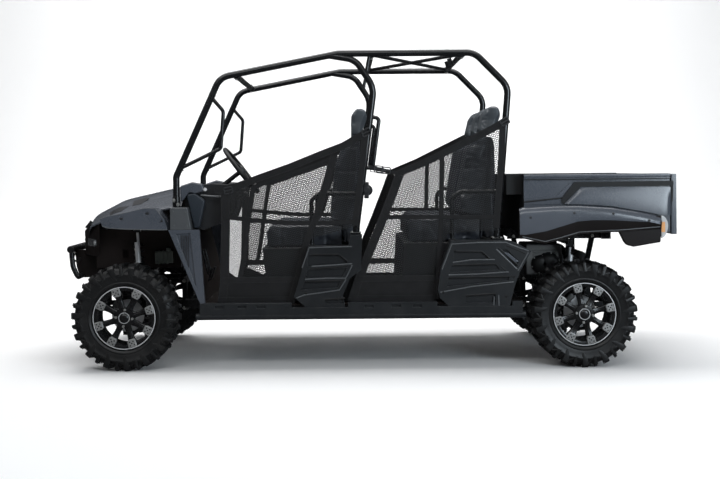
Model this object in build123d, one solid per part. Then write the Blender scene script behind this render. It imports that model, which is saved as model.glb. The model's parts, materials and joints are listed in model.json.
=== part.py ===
from build123d import *
import os
from math import cos, pi, radians, sin, tan

os.makedirs("parts", exist_ok=True)

# A crew side-by-side utility vehicle. It faces -X, its left (driver's) side is -Y, Z is up from the ground.
# All sizes are in millimetres.

# ---- running gear ----
WHEELBASE = 2845
FRONT_AXLE_X = -1483
REAR_AXLE_X = FRONT_AXLE_X + WHEELBASE
ROW_X = (FRONT_AXLE_X + REAR_AXLE_X) / 2 + 0.5      # the B pillars and the front row stand about midway
TYRE_R = 330                # to the lugs' tips
TYRE_OUT_Y = 790            # outer faces of the tyres
FRONT_TYRE_W = 230
REAR_TYRE_W = 280
LUG_H = 25
LUG_COUNT = 30              # alternating left and right shoulders
LUG_LEN = 34                # along the tread
RIM_R = 195                 # over the flange
FLANGE_H = 19
SEAT_R = RIM_R - FLANGE_H   # bead seat
RIM_WALL = 8
RIM_INSET = 25              # flange face behind the tyre's widest place
RIM_LIP = 9
SPOKES = 8
HUB_R = 62
SPINDLE_R = 18
RUN_FIT = 0.05              # radial running clearance of pins and shafts
FIT = 0.3                   # gap between pieces that only rest beside each other
TIE_ARM = 110               # kingpin to tie rod
KINGPIN_Y = TYRE_OUT_Y - 180
REAR_HUB_Y = TYRE_OUT_Y - 215
SHOCK_LOW_Y = TYRE_OUT_Y - 350
BALL_RISE = 95              # ball joints above and below the wheel centre
BALL_DROP = 18              # a wishbone block's middle beyond its ball joint
AXLE_Z = TYRE_R
ARM_R = 12
SPRING_R = 34
DAMPER_R = 14
TOWER_Y = 330               # upper shock mounts
FRONT_WHEEL_Y = TYRE_OUT_Y - FRONT_TYRE_W / 2
REAR_WHEEL_Y = TYRE_OUT_Y - REAR_TYRE_W / 2

# ---- cage ----
CAGE_R = 21
CAGE_Y = 650
BAR_R = 18
LOOP_R = 12
GRAB_R = 10
CAGE_FOOT_Z = 1008
ROOF_Z = 1965
A_FOOT = (FRONT_AXLE_X + 311, CAGE_FOOT_Z)
A_KNEE = (FRONT_AXLE_X + 311, CAGE_FOOT_Z + 192)
A_TOP = (FRONT_AXLE_X + 591, ROOF_Z - 143)
ROOF_BEND = (ROW_X - 90, ROOF_Z)
C_TOP = (REAR_AXLE_X - 655, ROOF_Z)
C_KNEE = (REAR_AXLE_X - 444, ROOF_Z - 215)
C_FOOT_X = REAR_AXLE_X - 524
B_ROOF = (ROW_X - 140, ROOF_Z - 12)
B_BEND = (ROW_X + 20, ROOF_Z - 40)
B_KNEE = (ROW_X + 134, ROOF_Z - 215)
B_FOOT_X = ROW_X + 14
FOOT_PLATE_T = 12

# ---- chassis ----
RAIL_Y, RAIL_W, RAIL_H = 260, 50, 60
RAIL_Z = 330
RAIL_X = (FRONT_AXLE_X + 303, REAR_AXLE_X - 302)
FLOOR_T = 8
FLOOR_Z = RAIL_Z + RAIL_H           # underside of the floor
FLOOR_TOP = FLOOR_Z + FLOOR_T
SILL_Y = (CAGE_Y + 42, CAGE_Y + 95)
FLOOR_Y = SILL_Y[0] - 2
SILL_TUBE_R = 22
SILL_X = (FRONT_AXLE_X + 463, REAR_AXLE_X - TYRE_R - 47)
SILL_TUBE_Z = RAIL_Z - 2
SILL_TOP = FLOOR_TOP + 14
SUB_Y, SUB_W = 165, 32              # the box frames round the final drives
SUB_LOW_Z, SUB_MID_Z = RAIL_Z - 12, RAIL_Z + 170
FRONT_SUB_X = (FRONT_AXLE_X - 307, RAIL_X[0])
REAR_SUB_X = (RAIL_X[1], REAR_AXLE_X + 318)
LOWER_SPREAD, UPPER_SPREAD = 150, 170
FRONT_TOWER_Z = 872
REAR_TOWER_Z = 745

# ---- cab ----
BOX_Y = (CAGE_Y - 50, CAGE_Y + 92)  # inner and outer faces of the side boxes beside the seats
BOX_FOOT_Z = FLOOR_Z - 7
FRONT_BOX_TOP, B_STEP_TOP = 760, 829
REAR_BOX_TOP = 788
POCKET_DEEP = 12                    # pressed pockets in the side boxes' outer faces
LINER_Y, LINER_T = 290, 4           # splash liners inside the front wheels
LINER_LOW_Z = 600
HIP_R = 14
HIP_Y = CAGE_Y - CAGE_R - HIP_R - FIT
SEAT_GAP = 15                       # seats to the restraint bars
SEAT_HALF = HIP_Y - HIP_R - SEAT_GAP
FRONT_SEAT_Z, REAR_SEAT_Z = 745, 770
BACK_H, REAR_BACK_H = 710, 690
SEAT_Y = (-SEAT_HALF * 2 / 3, 0, SEAT_HALF * 2 / 3)     # middles of the three places in each row
REST_W = 240
NET_T = 4
NET_Y = CAGE_Y + CAGE_R + FIT
DASH_HALF = CAGE_Y - 45
FIREWALL_X, FIREWALL_T = FRONT_AXLE_X + 350, 8
FIRE_KNEE_Z, FIRE_FOOT_X = 880, FRONT_AXLE_X + 463
DASH_X = FIREWALL_X + FIREWALL_T
COLUMN_Y = -340
HUB_X, HUB_Z = FRONT_AXLE_X + 693, 1235     # steering wheel hub
COLUMN_SLOPE = 37.6                 # degrees above the horizontal
COLUMN_R, COLUMN_LEN = 15, 380
WHEEL_RIM_R, WHEEL_GRIP_R = 175, 14

# ---- nose ----
HOOD_T = 10
HOOD_GAP = 5
HOOD_PIVOT = (FRONT_AXLE_X + 317, 1116)
HOOD_PIN_R = 5
HINGE_Y = 150
NOSE_HALF = 460
NOSE_TIP_X, NOSE_BACK_X = FRONT_AXLE_X - 402, FRONT_AXLE_X - 217
NOSE_Z = (690, 905)
NOSE_T = 10
FENDER_OUT_Y, FENDER_IN_Y = 748, 430
FENDER_T = 10
LAMP_Y, LAMP_Z = (300, 425), (748, 800)
BODY_BAR_Z = 741
BUMPER_R = 25
BUMPER_HALF = 300

# ---- bed ----
BED_X = (REAR_AXLE_X - 362, REAR_AXLE_X + 546)
BED_FLOOR_Z = 832                   # underside
BED_H = 364
BED_TOP = BED_FLOOR_Z + BED_H
BED_Y = 722
BED_WALL = 45
SIDE_WALL = 62
BED_FLOOR_T = 14
BED_RAIL_Y = 330
BED_RAIL_Z = (BED_FLOOR_Z - 60, BED_FLOOR_Z - 15)
BED_PIVOT = (REAR_AXLE_X + 228, BED_FLOOR_Z - 37)
BED_PIN_R = 14
FLARE_Y = BED_Y + 62
GATE_T = 34
GATE_GAP = 10
GATE_HALF = BED_Y - 6
GATE_PIVOT = (BED_X[1] + 36, BED_FLOOR_Z - 2)
GATE_PIN_R = 7
GATE_HINGE_Y = 570


def box(x, y, z):
    """A block from three (low, high) pairs."""
    lows = [min(p) for p in (x, y, z)]
    size = [abs(p[1] - p[0]) for p in (x, y, z)]
    return Pos(*lows) * Box(*size, align=(Align.MIN, Align.MIN, Align.MIN))


def centred(x, w):
    """The (low, high) pair of a width w about x."""
    return (x - w / 2, x + w / 2)


def placed(points, x=0, z=0):
    """Side view points moved by x and z."""
    return [(px + x, pz + z) for px, pz in points]


def side_prism(points, y0, y1):
    """A side view outline, (x, z) points, made solid from y0 to y1."""
    face = make_face(Plane.XZ.offset(-y0) * Polyline(*points, close=True))
    return extrude(face, amount=y1 - y0, dir=(0, 1, 0))


def front_prism(points, x0, x1):
    """A front view outline, (y, z) points, made solid from x0 to x1."""
    face = make_face(Plane.YZ.offset(x0) * Polyline(*points, close=True))
    return extrude(face, amount=x1 - x0, dir=(1, 0, 0))


def plan_prism(points, z0, z1):
    """A top view outline, (x, y) points, made solid from z0 to z1."""
    face = make_face(Plane.XY.offset(z0) * Polyline(*points, close=True))
    return extrude(face, amount=z1 - z0, dir=(0, 0, 1))


def rod(p, q, r):
    """A round bar from point p to point q."""
    p, q = Vector(*p), Vector(*q)
    return extrude(Plane(origin=p, z_dir=q - p) * Circle(r), amount=(q - p).length)


def beam(p, q, w, h):
    """A rectangular bar from p to q, w wide across and h deep."""
    p, q = Vector(*p), Vector(*q)
    line = (q - p).normalized()
    side = Vector(0, 1, 0) if abs(line.Y) < 0.9 else Vector(1, 0, 0)
    section = Plane(origin=p, x_dir=side - line * side.dot(line), z_dir=line) * Rectangle(w, h)
    return extrude(section, amount=(q - p).length)


def fused(*shapes):
    whole = shapes[0]
    for shape in shapes[1:]:
        whole = whole + shape
    return whole


def tube(points, bends, r):
    """A round tube through points, bent to a radius at each inner point; a bend of 0 is mitred."""
    corners = [Vector(*p) for p in points]
    start, open_plane = corners[0], None
    pieces = []

    def straight(p, q, first, last):
        """A length of tube, run on and cut off along the mitre planes at its ends."""
        line = (q - p).normalized()
        piece = rod(p - line * 2 * r if first else p, q + line * 2 * r if last else q, r)
        if first:
            piece = split(piece, bisect_by=first, keep=Keep.TOP)
        if last:
            piece = split(piece, bisect_by=last, keep=Keep.BOTTOM)
        return piece

    for i, bend in enumerate(bends, 1):
        corner = corners[i]
        before = (corner - corners[i - 1]).normalized()
        after = (corners[i + 1] - corner).normalized()
        if bend == 0:
            mitre = Plane(origin=corner, z_dir=before + after)
            pieces.append(straight(start, corner, open_plane, mitre))
            start, open_plane = corner, mitre
            continue
        turn = before.get_angle(after)
        reach = bend * tan(radians(turn) / 2)
        begin = corner - before * reach
        pieces.append(straight(start, begin, open_plane, None))
        normal = before.cross(after).normalized()
        centre = begin + normal.cross(before) * bend
        section = Plane(origin=begin, z_dir=before) * Circle(r)
        pieces.append(revolve(section, Axis(centre, normal), turn))
        start, open_plane = corner + after * reach, None
    pieces.append(straight(start, corners[-1], open_plane, None))
    return fused(*pieces)


def side_tube(points, bends, r, y):
    """A tube bent in the side view, at one y."""
    return tube([(x, y, z) for x, z in points], bends, r)


def mirrored(shape):
    return mirror(shape, about=Plane.XZ)


def pair(shape):
    """A piece and its mirror image on the other side."""
    return [shape, mirrored(shape)]


def along(p, q, t):
    """The point a share t of the way from p to q."""
    return tuple(a + (b - a) * t for a, b in zip(p, q))


def on_y(r, y0, y1):
    """A disc or shaft on the Y axis between two y values."""
    return rod((0, y0, 0), (0, y1, 0), r)


# ---------------- wheels ----------------

def flat_ring(rings, hole_r):
    """A ring of flat faces on the Y axis through (y, radius) stations, with a many-sided hole."""
    step = 2 * pi / LUG_COUNT

    def polygon(y, r):
        corner = r / cos(step / 2)
        return [
            Vector(corner * sin((i + 0.5) * step), y, corner * cos((i + 0.5) * step))
            for i in range(LUG_COUNT)
        ]

    stations = [polygon(rings[0][0], hole_r)] + [polygon(y, r) for y, r in rings]
    stations.append(polygon(rings[-1][0], hole_r))
    faces = []
    for near, far in zip(stations, stations[1:] + stations[:1]):
        for i in range(LUG_COUNT):
            k = i - 1
            faces.append(Face(Wire.make_polygon([near[k], near[i], far[i], far[k]])))
    return Solid(Shell(faces))


def tyre(width):
    """A lugged tyre on the Y axis, its outer side towards -Y."""
    half = width / 2
    tread_r = TYRE_R - LUG_H
    # half widths and radii of the carcass, from the middle outwards
    stations = ((half - 38, tread_r), (half - 10, tread_r - 22), (half - RIM_INSET, RIM_R + 20))
    rings = [(-y, r) for y, r in reversed(stations)] + list(stations)
    body = flat_ring(rings, SEAT_R + FIT)
    outline = (
        (6, tread_r - 8), (6, TYRE_R), (half - 16, TYRE_R), (half, TYRE_R - 14),
        (half, tread_r - 40), (half - 14, tread_r - 40),
    )
    lug = front_prism(outline, -LUG_LEN / 2, LUG_LEN / 2)
    lugs = [
        Rot(0, i * 360 / LUG_COUNT, 0) * (lug if i % 2 else mirrored(lug))
        for i in range(LUG_COUNT)
    ]
    return body + lugs


HUB_LEN = 50
BORE_WALL = 2
SPINDLE_GAP = 4


def rim(width):
    """An eight-spoke rim on the Y axis, its face towards -Y."""
    half = width / 2 - RIM_INSET
    inner = SEAT_R - RIM_WALL
    profile = (
        (RIM_R, -half - RIM_LIP), (RIM_R, -half), (SEAT_R, -half), (SEAT_R, half + RIM_LIP),
        (inner, half + RIM_LIP), (inner, -half - RIM_LIP),
    )
    barrel = revolve(make_face(Polyline(*profile, close=True)), Axis.Y)
    spoke_y = -half + 6
    section = ((-24, 0), (24, 0), (30, 30), (-30, 30))
    spoke = Pos(0, spoke_y, 0) * plan_prism(section, HUB_R - 12, inner + 3)
    pad = box((-34, 34), (spoke_y - 6, spoke_y + 8), (inner - 36, inner + 3))
    spokes = [Rot(0, i * 360 / SPOKES, 0) * fused(spoke, pad) for i in range(SPOKES)]
    hub = on_y(HUB_R, spoke_y - 3, spoke_y - 3 + HUB_LEN)
    cap = on_y(34, spoke_y - 14, spoke_y - 2)
    whole = hub + cap + spokes + barrel
    return whole - on_y(SPINDLE_R + RUN_FIT, spoke_y + SPINDLE_GAP, spoke_y + 2 * HUB_LEN)


def spindle_end(width):
    """How far outboard of the tyre's middle a spindle reaches into its hub."""
    return width / 2 - RIM_INSET - 6 - SPINDLE_GAP - BORE_WALL


front_tyre, front_rim = tyre(FRONT_TYRE_W), rim(FRONT_TYRE_W)
rear_tyre, rear_rim = tyre(REAR_TYRE_W), rim(REAR_TYRE_W)


def at_corner(shape, x, y):
    return Pos(x, -y, AXLE_Z) * shape


# ---------------- steering and suspension ----------------

ARM_Z = (-26, -14)                  # steering arm below the wheel centre
BUSH_WALL = 5


def knuckle():
    """The left knuckle: an upright between two ball joints, its spindle and its steering arm."""
    y = KINGPIN_Y
    upright = box((-26, 26), (-y - 16, -y + 14), (-BALL_RISE, BALL_RISE))
    spindle = rod((0, -y, 0), (0, -(FRONT_WHEEL_Y + spindle_end(FRONT_TYRE_W)), 0), SPINDLE_R)
    arm = box((20, TIE_ARM + 14), centred(-y, 24), ARM_Z)
    return Pos(FRONT_AXLE_X, 0, AXLE_Z) * fused(upright, spindle, arm)


def a_arm(inner, outer, spread_in, spread_out, r):
    """A wishbone: two legs from bushes at the frame to a block at the ball joint."""
    (yi, zi), (yo, zo) = inner, outer
    legs, bushes = [], []
    for s in (-1, 1):
        legs.append(beam((s * spread_in, -yi, zi), (s * spread_out, -yo, zo), 2 * r, 2 * r))
        bush = centred(-yi, 2 * (r + BUSH_WALL))
        bushes.append(box(centred(s * spread_in, 44), bush, centred(zi, 2 * (r + BUSH_WALL))))
    block = box(centred(0, 2 * (spread_out + r)), (-yo - 16, -yo + 10), (zo - r, zo + r))
    toward = 1 if zo < AXLE_Z else -1
    stud = box(centred(0, 16), centred(-yo, 16), (zo, zo + toward * (BALL_DROP - FIT)))
    return fused(*legs, *bushes, block, stud)


def shock(low, high):
    """A coil-over: a damper from eye to eye through its spring."""
    spring = rod(along(low, high, 0.22), along(low, high, 0.80), SPRING_R)
    return fused(rod(low, high, DAMPER_R), spring)


ARM_IN_Y = SUB_Y + SUB_W / 2 + ARM_R + BUSH_WALL + FIT
LOWER_IN = (ARM_IN_Y, SUB_LOW_Z)    # frame end of the wishbones: |y|, z
UPPER_IN = (ARM_IN_Y, SUB_MID_Z)
LOWER_Z, UPPER_Z = AXLE_Z - BALL_RISE - BALL_DROP, AXLE_Z + BALL_RISE + BALL_DROP


def front_arms():
    lower = a_arm(LOWER_IN, (KINGPIN_Y, LOWER_Z), LOWER_SPREAD, 24, ARM_R)
    upper = a_arm(UPPER_IN, (KINGPIN_Y, UPPER_Z), UPPER_SPREAD, 24, ARM_R)
    return [Pos(FRONT_AXLE_X, 0, 0) * s for arm in (lower, upper) for s in pair(arm)]


def rear_arms():
    y_out = REAR_HUB_Y
    lower = a_arm(LOWER_IN, (y_out, LOWER_Z), LOWER_SPREAD, 24, ARM_R)
    upper = a_arm(UPPER_IN, (y_out, UPPER_Z), UPPER_SPREAD, 24, ARM_R)
    upright = box((-30, 30), centred(-y_out - 1, 30), (LOWER_Z + ARM_R, UPPER_Z - ARM_R))
    spindle = rod((0, -y_out, AXLE_Z), (0, -(REAR_WHEEL_Y + spindle_end(REAR_TYRE_W)), AXLE_Z), SPINDLE_R)
    carrier = fused(lower, upper, upright, spindle)
    return [Pos(REAR_AXLE_X, 0, 0) * s for s in pair(carrier)]


def lower_arm_top(y, y_out):
    """Height of a lower wishbone's top face at |y|."""
    t = (y - LOWER_IN[0]) / (y_out - LOWER_IN[0])
    return LOWER_IN[1] + (LOWER_Z - LOWER_IN[1]) * t + ARM_R


# ---------------- bodies ----------------
nodes = {}


def add(name, *shapes):
    """Keep a node: one solid, or several that do not touch."""
    solids = [s for shape in shapes for s in (shape if isinstance(shape, list) else [shape])]
    nodes[name] = solids


# wheels
for axle, x, y, t, r in (
    ("front", FRONT_AXLE_X, FRONT_WHEEL_Y, front_tyre, front_rim),
    ("rear", REAR_AXLE_X, REAR_WHEEL_Y, rear_tyre, rear_rim),
):
    add(f"tyre_{axle}_left", at_corner(t, x, y))
    add(f"tyre_{axle}_right", mirrored(at_corner(t, x, y)))
    add(f"rim_{axle}_left", at_corner(r, x, y))
    add(f"rim_{axle}_right", mirrored(at_corner(r, x, y)))

left_knuckle = knuckle()
add("knuckle_left", left_knuckle)
add("knuckle_right", mirrored(left_knuckle))

# rack bar with a tie rod to each knuckle arm, whose eye lies just under the arm
RACK_X = FRONT_AXLE_X + TIE_ARM
RACK_Z = RAIL_Z + 20
RACK_HALF, RACK_R, HOUSING_R = 240, 13, 26
TIE_R, TIE_EYE_R, TIE_EYE_H = 8, 13, 20
TIE_EYE_Z = AXLE_Z + ARM_Z[0] - TIE_EYE_H / 2 - 2 * FIT
rack = rod((RACK_X, -RACK_HALF, RACK_Z), (RACK_X, RACK_HALF, RACK_Z), RACK_R)
tie = rod((RACK_X, -RACK_HALF + 8, RACK_Z), (RACK_X, -KINGPIN_Y, TIE_EYE_Z), TIE_R)
eye = Pos(RACK_X, -KINGPIN_Y, TIE_EYE_Z) * Cylinder(TIE_EYE_R, TIE_EYE_H)
add("tie_rods", fused(rack, tie, mirrored(tie), eye, mirrored(eye)))

# ---- frame ----
add("frame_rails", pair(box(RAIL_X, centred(-RAIL_Y, RAIL_W), (RAIL_Z, FLOOR_Z))))
inner_y = RAIL_Y - RAIL_W / 2
outer_y = RAIL_Y + RAIL_W / 2
CROSSER_W = 40
OUTRIGGER_X = (SILL_X[0] + 30, ROW_X - 500, ROW_X, REAR_AXLE_X - 942, REAR_AXLE_X - 462)
crossers = []
for x in (RAIL_X[0] + CROSSER_W / 2, *OUTRIGGER_X, RAIL_X[1] - CROSSER_W / 2):
    crossers.append(box(centred(x, CROSSER_W), (-inner_y, inner_y), (RAIL_Z, FLOOR_Z)))
for x in OUTRIGGER_X:
    crossers += pair(box(centred(x, CROSSER_W), (-SILL_Y[0], -outer_y), (RAIL_Z, FLOOR_Z)))
add("frame_crossmembers", crossers)

POST_W = 30


def subframe(x0, x1, axle_x, tower_x, tower_top):
    """A welded box frame round a final drive, with two shock towers."""
    half = SUB_W / 2
    parts = []
    for s in (-1, 1):
        y = s * SUB_Y
        for z in (SUB_LOW_Z, SUB_MID_Z):
            parts.append(box((x0, x1), centred(y, SUB_W), centred(z, SUB_W)))
        for x in (x0 + half, axle_x - LOWER_SPREAD, axle_x + LOWER_SPREAD, x1 - half):
            parts.append(box(centred(x, POST_W), centred(y, POST_W), (SUB_LOW_Z, SUB_MID_Z)))
        parts.append(beam((tower_x, y, SUB_MID_Z), (tower_x, s * (TOWER_Y - 60), tower_top), SUB_W, SUB_W))
    for x in (x0 + half, x1 - half):
        for z in (SUB_LOW_Z, SUB_MID_Z):
            parts.append(box(centred(x, SUB_W), (-SUB_Y, SUB_Y), centred(z, SUB_W)))
    return parts


FRONT_TOWER_X = FRONT_AXLE_X + 3
REAR_TOWER_X = REAR_AXLE_X + 3
front_sub = subframe(*FRONT_SUB_X, FRONT_AXLE_X, FRONT_TOWER_X, FRONT_TOWER_Z)
tower_half = FENDER_IN_Y - FIT
front_sub.append(
    box(centred(FRONT_TOWER_X, SUB_W), (-tower_half, tower_half), centred(FRONT_TOWER_Z, SUB_W))
)
post_x = FRONT_SUB_X[0] + SUB_W / 2
for s in (-1, 1):
    front_sub.append(box(centred(post_x, POST_W), centred(s * SUB_Y, POST_W), (SUB_MID_Z, BODY_BAR_Z)))
rear_sub = subframe(*REAR_SUB_X, REAR_AXLE_X, REAR_TOWER_X, REAR_TOWER_Z)
rear_sub.append(box(centred(REAR_TOWER_X, SUB_W), (-TOWER_Y, TOWER_Y), centred(REAR_TOWER_Z, SUB_W)))
BED_RAIL_X = (BED_X[0] - 50, BED_PIVOT[0] + 20)
BED_RAIL_W, STRUT_W = 40, 30
strut_top = BED_RAIL_Z[0] + 8
FRONT_STRUT_X, REAR_STRUT_X = BED_X[0] - 10, BED_PIVOT[0] - 85
for s in (-1, 1):
    y = s * BED_RAIL_Y
    rear_sub.append(box(BED_RAIL_X, centred(y, BED_RAIL_W), BED_RAIL_Z))
    stop = (BED_RAIL_Z[1], BED_FLOOR_Z - FIT)
    rear_sub.append(box((BED_X[0] - 40, BED_X[0]), centred(y, BED_RAIL_W), stop))
    for top_x, low_x in ((REAR_STRUT_X, REAR_STRUT_X - 25), (FRONT_STRUT_X, REAR_SUB_X[0] + 14)):
        low = (low_x, s * (SUB_Y + 5), SUB_MID_Z)
        rear_sub.append(beam((top_x, y, strut_top), low, STRUT_W, STRUT_W))
for x in (FRONT_STRUT_X, REAR_STRUT_X):
    rail_z = (BED_RAIL_Z[0] + 4, BED_RAIL_Z[1] - 10)
    rear_sub.append(box(centred(x, BED_RAIL_W - 4), (-BED_RAIL_Y, BED_RAIL_Y), rail_z))
pin_half = BED_RAIL_Y + 60
bed_pin = rod((BED_PIVOT[0], -pin_half, BED_PIVOT[1]), (BED_PIVOT[0], pin_half, BED_PIVOT[1]), BED_PIN_R)
add("rear_subframe", fused(*rear_sub, bed_pin))

# ---- side boxes and seat bases ----
# side views: x from the front row for the front box, from the rear axle for the rear one
FRONT_BOX = placed((
    (-285, FRONT_BOX_TOP), (-35, FRONT_BOX_TOP), (-20, B_STEP_TOP), (52, B_STEP_TOP), (43, 612), (-26, 563),
    (-70, 458), (-58, BOX_FOOT_Z), (-300, BOX_FOOT_Z), (-374, 448), (-323, 615),
), ROW_X)
REAR_BOX = placed((
    (-819, REAR_BOX_TOP), (-484, REAR_BOX_TOP), (-422, REAR_BOX_TOP - 11), (-322, 721), (-393, 591),
    (-424, 511), (-457, BOX_FOOT_Z), (-835, BOX_FOOT_Z), (-890, 434), (-902, 484), (-883, 620),
), REAR_AXLE_X)
FRONT_POCKETS = (
    ((-286, 708), (-86, 706), (-43, 669), (-44, 646), (-286, 634)),
    ((-290, 615), (-44, 625), (-72, 570), (-300, 565)),
    ((-306, 544), (-84, 545), (-100, 504), (-330, 492)),
    ((-182, 436), (-66, 440), (-66, 405), (-182, 405)),
)
REAR_POCKETS = (
    ((-800, 727), (-634, 724), (-586, 682), (-591, 668), (-806, 660)),
    ((-820, 634), (-541, 640), (-512, 606), (-830, 594)),
    ((-838, 560), (-458, 562), (-462, 541), (-846, 504)),
    ((-729, 451), (-545, 466), (-545, 405), (-732, 405)),
    ((-516, 732), (-470, 732), (-398, 655), (-416, 622)),
)
under_floor = box((SILL_X[0] - 200, SILL_X[1] + 200), (-SILL_Y[0], 0), (RAIL_Z - 30, FLOOR_TOP + FIT))
side_boxes = []
for outline, pockets, x in ((FRONT_BOX, FRONT_POCKETS, ROW_X), (REAR_BOX, REAR_POCKETS, REAR_AXLE_X)):
    shell = side_prism(outline, -BOX_Y[1], -BOX_Y[0])
    for pocket in pockets:
        shell = shell - side_prism(placed(pocket, x), -BOX_Y[1] - 1, -BOX_Y[1] + POCKET_DEEP)
    side_boxes += pair(shell - under_floor)
add("side_boxes", side_boxes)
BASE_FRONT = placed(
    ((-540, FLOOR_TOP), (-580, FRONT_SEAT_Z - FIT), (20, FRONT_SEAT_Z - FIT), (20, FLOOR_TOP)), ROW_X
)
BASE_REAR = placed(
    ((-1127, FLOOR_TOP), (-1107, REAR_SEAT_Z - FIT), (-502, REAR_SEAT_Z - FIT), (-502, FLOOR_TOP)),
    REAR_AXLE_X,
)
add("seat_bases", [side_prism(o, -BOX_Y[0], BOX_Y[0]) for o in (BASE_FRONT, BASE_REAR)])

# ---- floor and sills ----
FLOOR_X = (SILL_X[0] - 10, BED_X[0] + 10)
add("floor_pan", box(FLOOR_X, (-FLOOR_Y, FLOOR_Y), (FLOOR_Z, FLOOR_TOP)))
sill = box(SILL_X, (-SILL_Y[1], -SILL_Y[0]), (SILL_TUBE_Z + 10, SILL_TOP))
tube_y = -SILL_Y[0] - 28
sill = sill + rod((SILL_X[0] - 25, tube_y, SILL_TUBE_Z), (SILL_X[1] + 20, tube_y, SILL_TUBE_Z), SILL_TUBE_R)
for x0, x1 in ((ROW_X - 390, ROW_X - 40), (REAR_AXLE_X - 907, REAR_AXLE_X - 442)):
    sill = sill - box((x0, x1), (-SILL_Y[1] - 1, -SILL_Y[0] + 1), (BOX_FOOT_Z - FIT, SILL_TOP + 1))
SLOT_L, SLOT_H, SLOT_DEEP = 56, 18, 10
slot_z = (FLOOR_Z - 12, FLOOR_Z - 12 + SLOT_H)
for x in (
    SILL_X[0] + 120, SILL_X[0] + 260, SILL_X[0] + 380,
    ROW_X + 90, REAR_AXLE_X - 1162, REAR_AXLE_X - 1032,
):
    sill = sill - box(centred(x, SLOT_L), (-SILL_Y[1] - 1, -SILL_Y[1] + SLOT_DEEP), slot_z)
add("sills", pair(sill))

# ---- nose, hood and fenders ----
# station x from the front axle, top z, half width, edge z
HOOD = (
    (-402, 838, 300, 800), (-300, 960, 410, 886), (-120, 1046, 520, 948), (333, 1148, 600, 1018),
)


def hood_section(x, top, half, edge, lift, roof=None):
    """An arched section; with roof it is closed by a flat line up there instead of by a second arch."""
    x = FRONT_AXLE_X + x
    lower = ThreePointArc((x, -half, edge + lift), (x, 0, top + lift), (x, half, edge + lift))
    if roof is None:
        upper = ThreePointArc(
            (x, half, edge + lift + HOOD_T), (x, 0, top + lift + HOOD_T), (x, -half, edge + lift + HOOD_T)
        )
        return make_face([lower, Line(lower @ 1, upper @ 0), upper, Line(upper @ 1, lower @ 0)])
    rest = Polyline(lower @ 1, (x, half, roof), (x, -half, roof), lower @ 0)
    return make_face([lower, rest])


hood_skin = loft([hood_section(*s, -HOOD_T) for s in HOOD], ruled=True)
ABOVE_NOSE = 1500
over_hood = loft(
    [hood_section(x, t, w + HOOD_GAP, e, -HOOD_T - HOOD_GAP, ABOVE_NOSE) for x, t, w, e in HOOD], ruled=True
)
px, pz = HOOD_PIVOT
LEAF_HALF, LEAF_R = 15, 12
hinge_leaf = box(centred(px, 2 * LEAF_R), centred(-HINGE_Y, 2 * LEAF_HALF), (pz - LEAF_R, pz + LEAF_R + 2))
hinge_bore = rod((px, -HINGE_Y - 30, pz), (px, -HINGE_Y + 30, pz), HOOD_PIN_R + RUN_FIT)
add("hood", fused(hood_skin, *pair(hinge_leaf)) - hinge_bore - mirrored(hinge_bore))


def nose_plan(grow):
    """Plan outline of the nose: a wide arc in front, closed by a straight line behind."""
    ends = [(NOSE_BACK_X, s * (NOSE_HALF - grow), 0) for s in (-1, 1)]
    arc = ThreePointArc(ends[0], (NOSE_TIP_X + grow, 0, 0), ends[1])
    return make_face([arc, Line(arc @ 1, arc @ 0)])


def nose_block(grow, z0, z1):
    return extrude(Plane.XY.offset(z0) * nose_plan(grow), amount=z1 - z0, dir=(0, 0, 1))


nose = nose_block(0, *NOSE_Z) - nose_block(NOSE_T, NOSE_Z[0] - 1, ABOVE_NOSE) - over_hood
GRILLE_HALF, GRILLE_SLOT, GRILLE_PITCH, GRILLE_SLOTS = 210, 16, 28, 4
for i in range(GRILLE_SLOTS):
    z = NOSE_Z[0] + 14 + i * GRILLE_PITCH
    slot_x = (NOSE_TIP_X - 15, NOSE_TIP_X + 45)
    nose = nose - box(slot_x, (-GRILLE_HALF, GRILLE_HALF), (z, z + GRILLE_SLOT))

# headlamps, seated in the nose's corners
lamp_box = box((NOSE_TIP_X + 35, NOSE_TIP_X + 145), (-LAMP_Y[1], -LAMP_Y[0]), LAMP_Z)
lamp = lamp_box & nose_block(0, *NOSE_Z)
window = box(
    (NOSE_TIP_X - 15, NOSE_BACK_X + 100), (-LAMP_Y[1] - FIT, -LAMP_Y[0] + FIT),
    (LAMP_Z[0] - FIT, LAMP_Z[1] + FIT),
)
add("nose_panel", nose - window - mirrored(window))
add("headlamps", pair(lamp))
body_bar = box(centred(post_x, SUB_W), (-400, 400), (BODY_BAR_Z - 22, BODY_BAR_Z + 6))
body_bar = body_bar & nose_block(NOSE_T + FIT, *NOSE_Z)
add("front_subframe", fused(*front_sub, body_bar) - lamp - mirrored(lamp))

# fender side view, x from the front axle
FENDER = placed((
    (-153, 941), (-135, 897), (-97, 884), (3, 877), (243, 870), (268, 872),
    (246, 937), (191, 1006), (122, 1006), (-3, 977), (-97, 959),
), FRONT_AXLE_X)
FENDER_HOLLOW = placed((
    (-139, 936), (-117, 860), (253, 860), (234, 934), (185, 996), (122, 996), (-1, 967), (-95, 949),
), FRONT_AXLE_X)
FENDER_DIMPLES = placed(((-19, 946), (143, 975), (225, 926)), FRONT_AXLE_X)
DIMPLE_R, DIMPLE_DEEP = 16, 5
fender = side_prism(FENDER, -FENDER_OUT_Y, -FENDER_IN_Y)
fender = fender - side_prism(FENDER_HOLLOW, -FENDER_OUT_Y + FENDER_T, -FENDER_IN_Y - FENDER_T) - over_hood
for x, z in FENDER_DIMPLES:
    dimple = Plane.XZ.offset(FENDER_OUT_Y - DIMPLE_DEEP) * Pos(x, z) * RegularPolygon(DIMPLE_R, 6)
    fender = fender - extrude(dimple, amount=20, dir=(0, -1, 0))
add("front_fenders", pair(fender))

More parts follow.
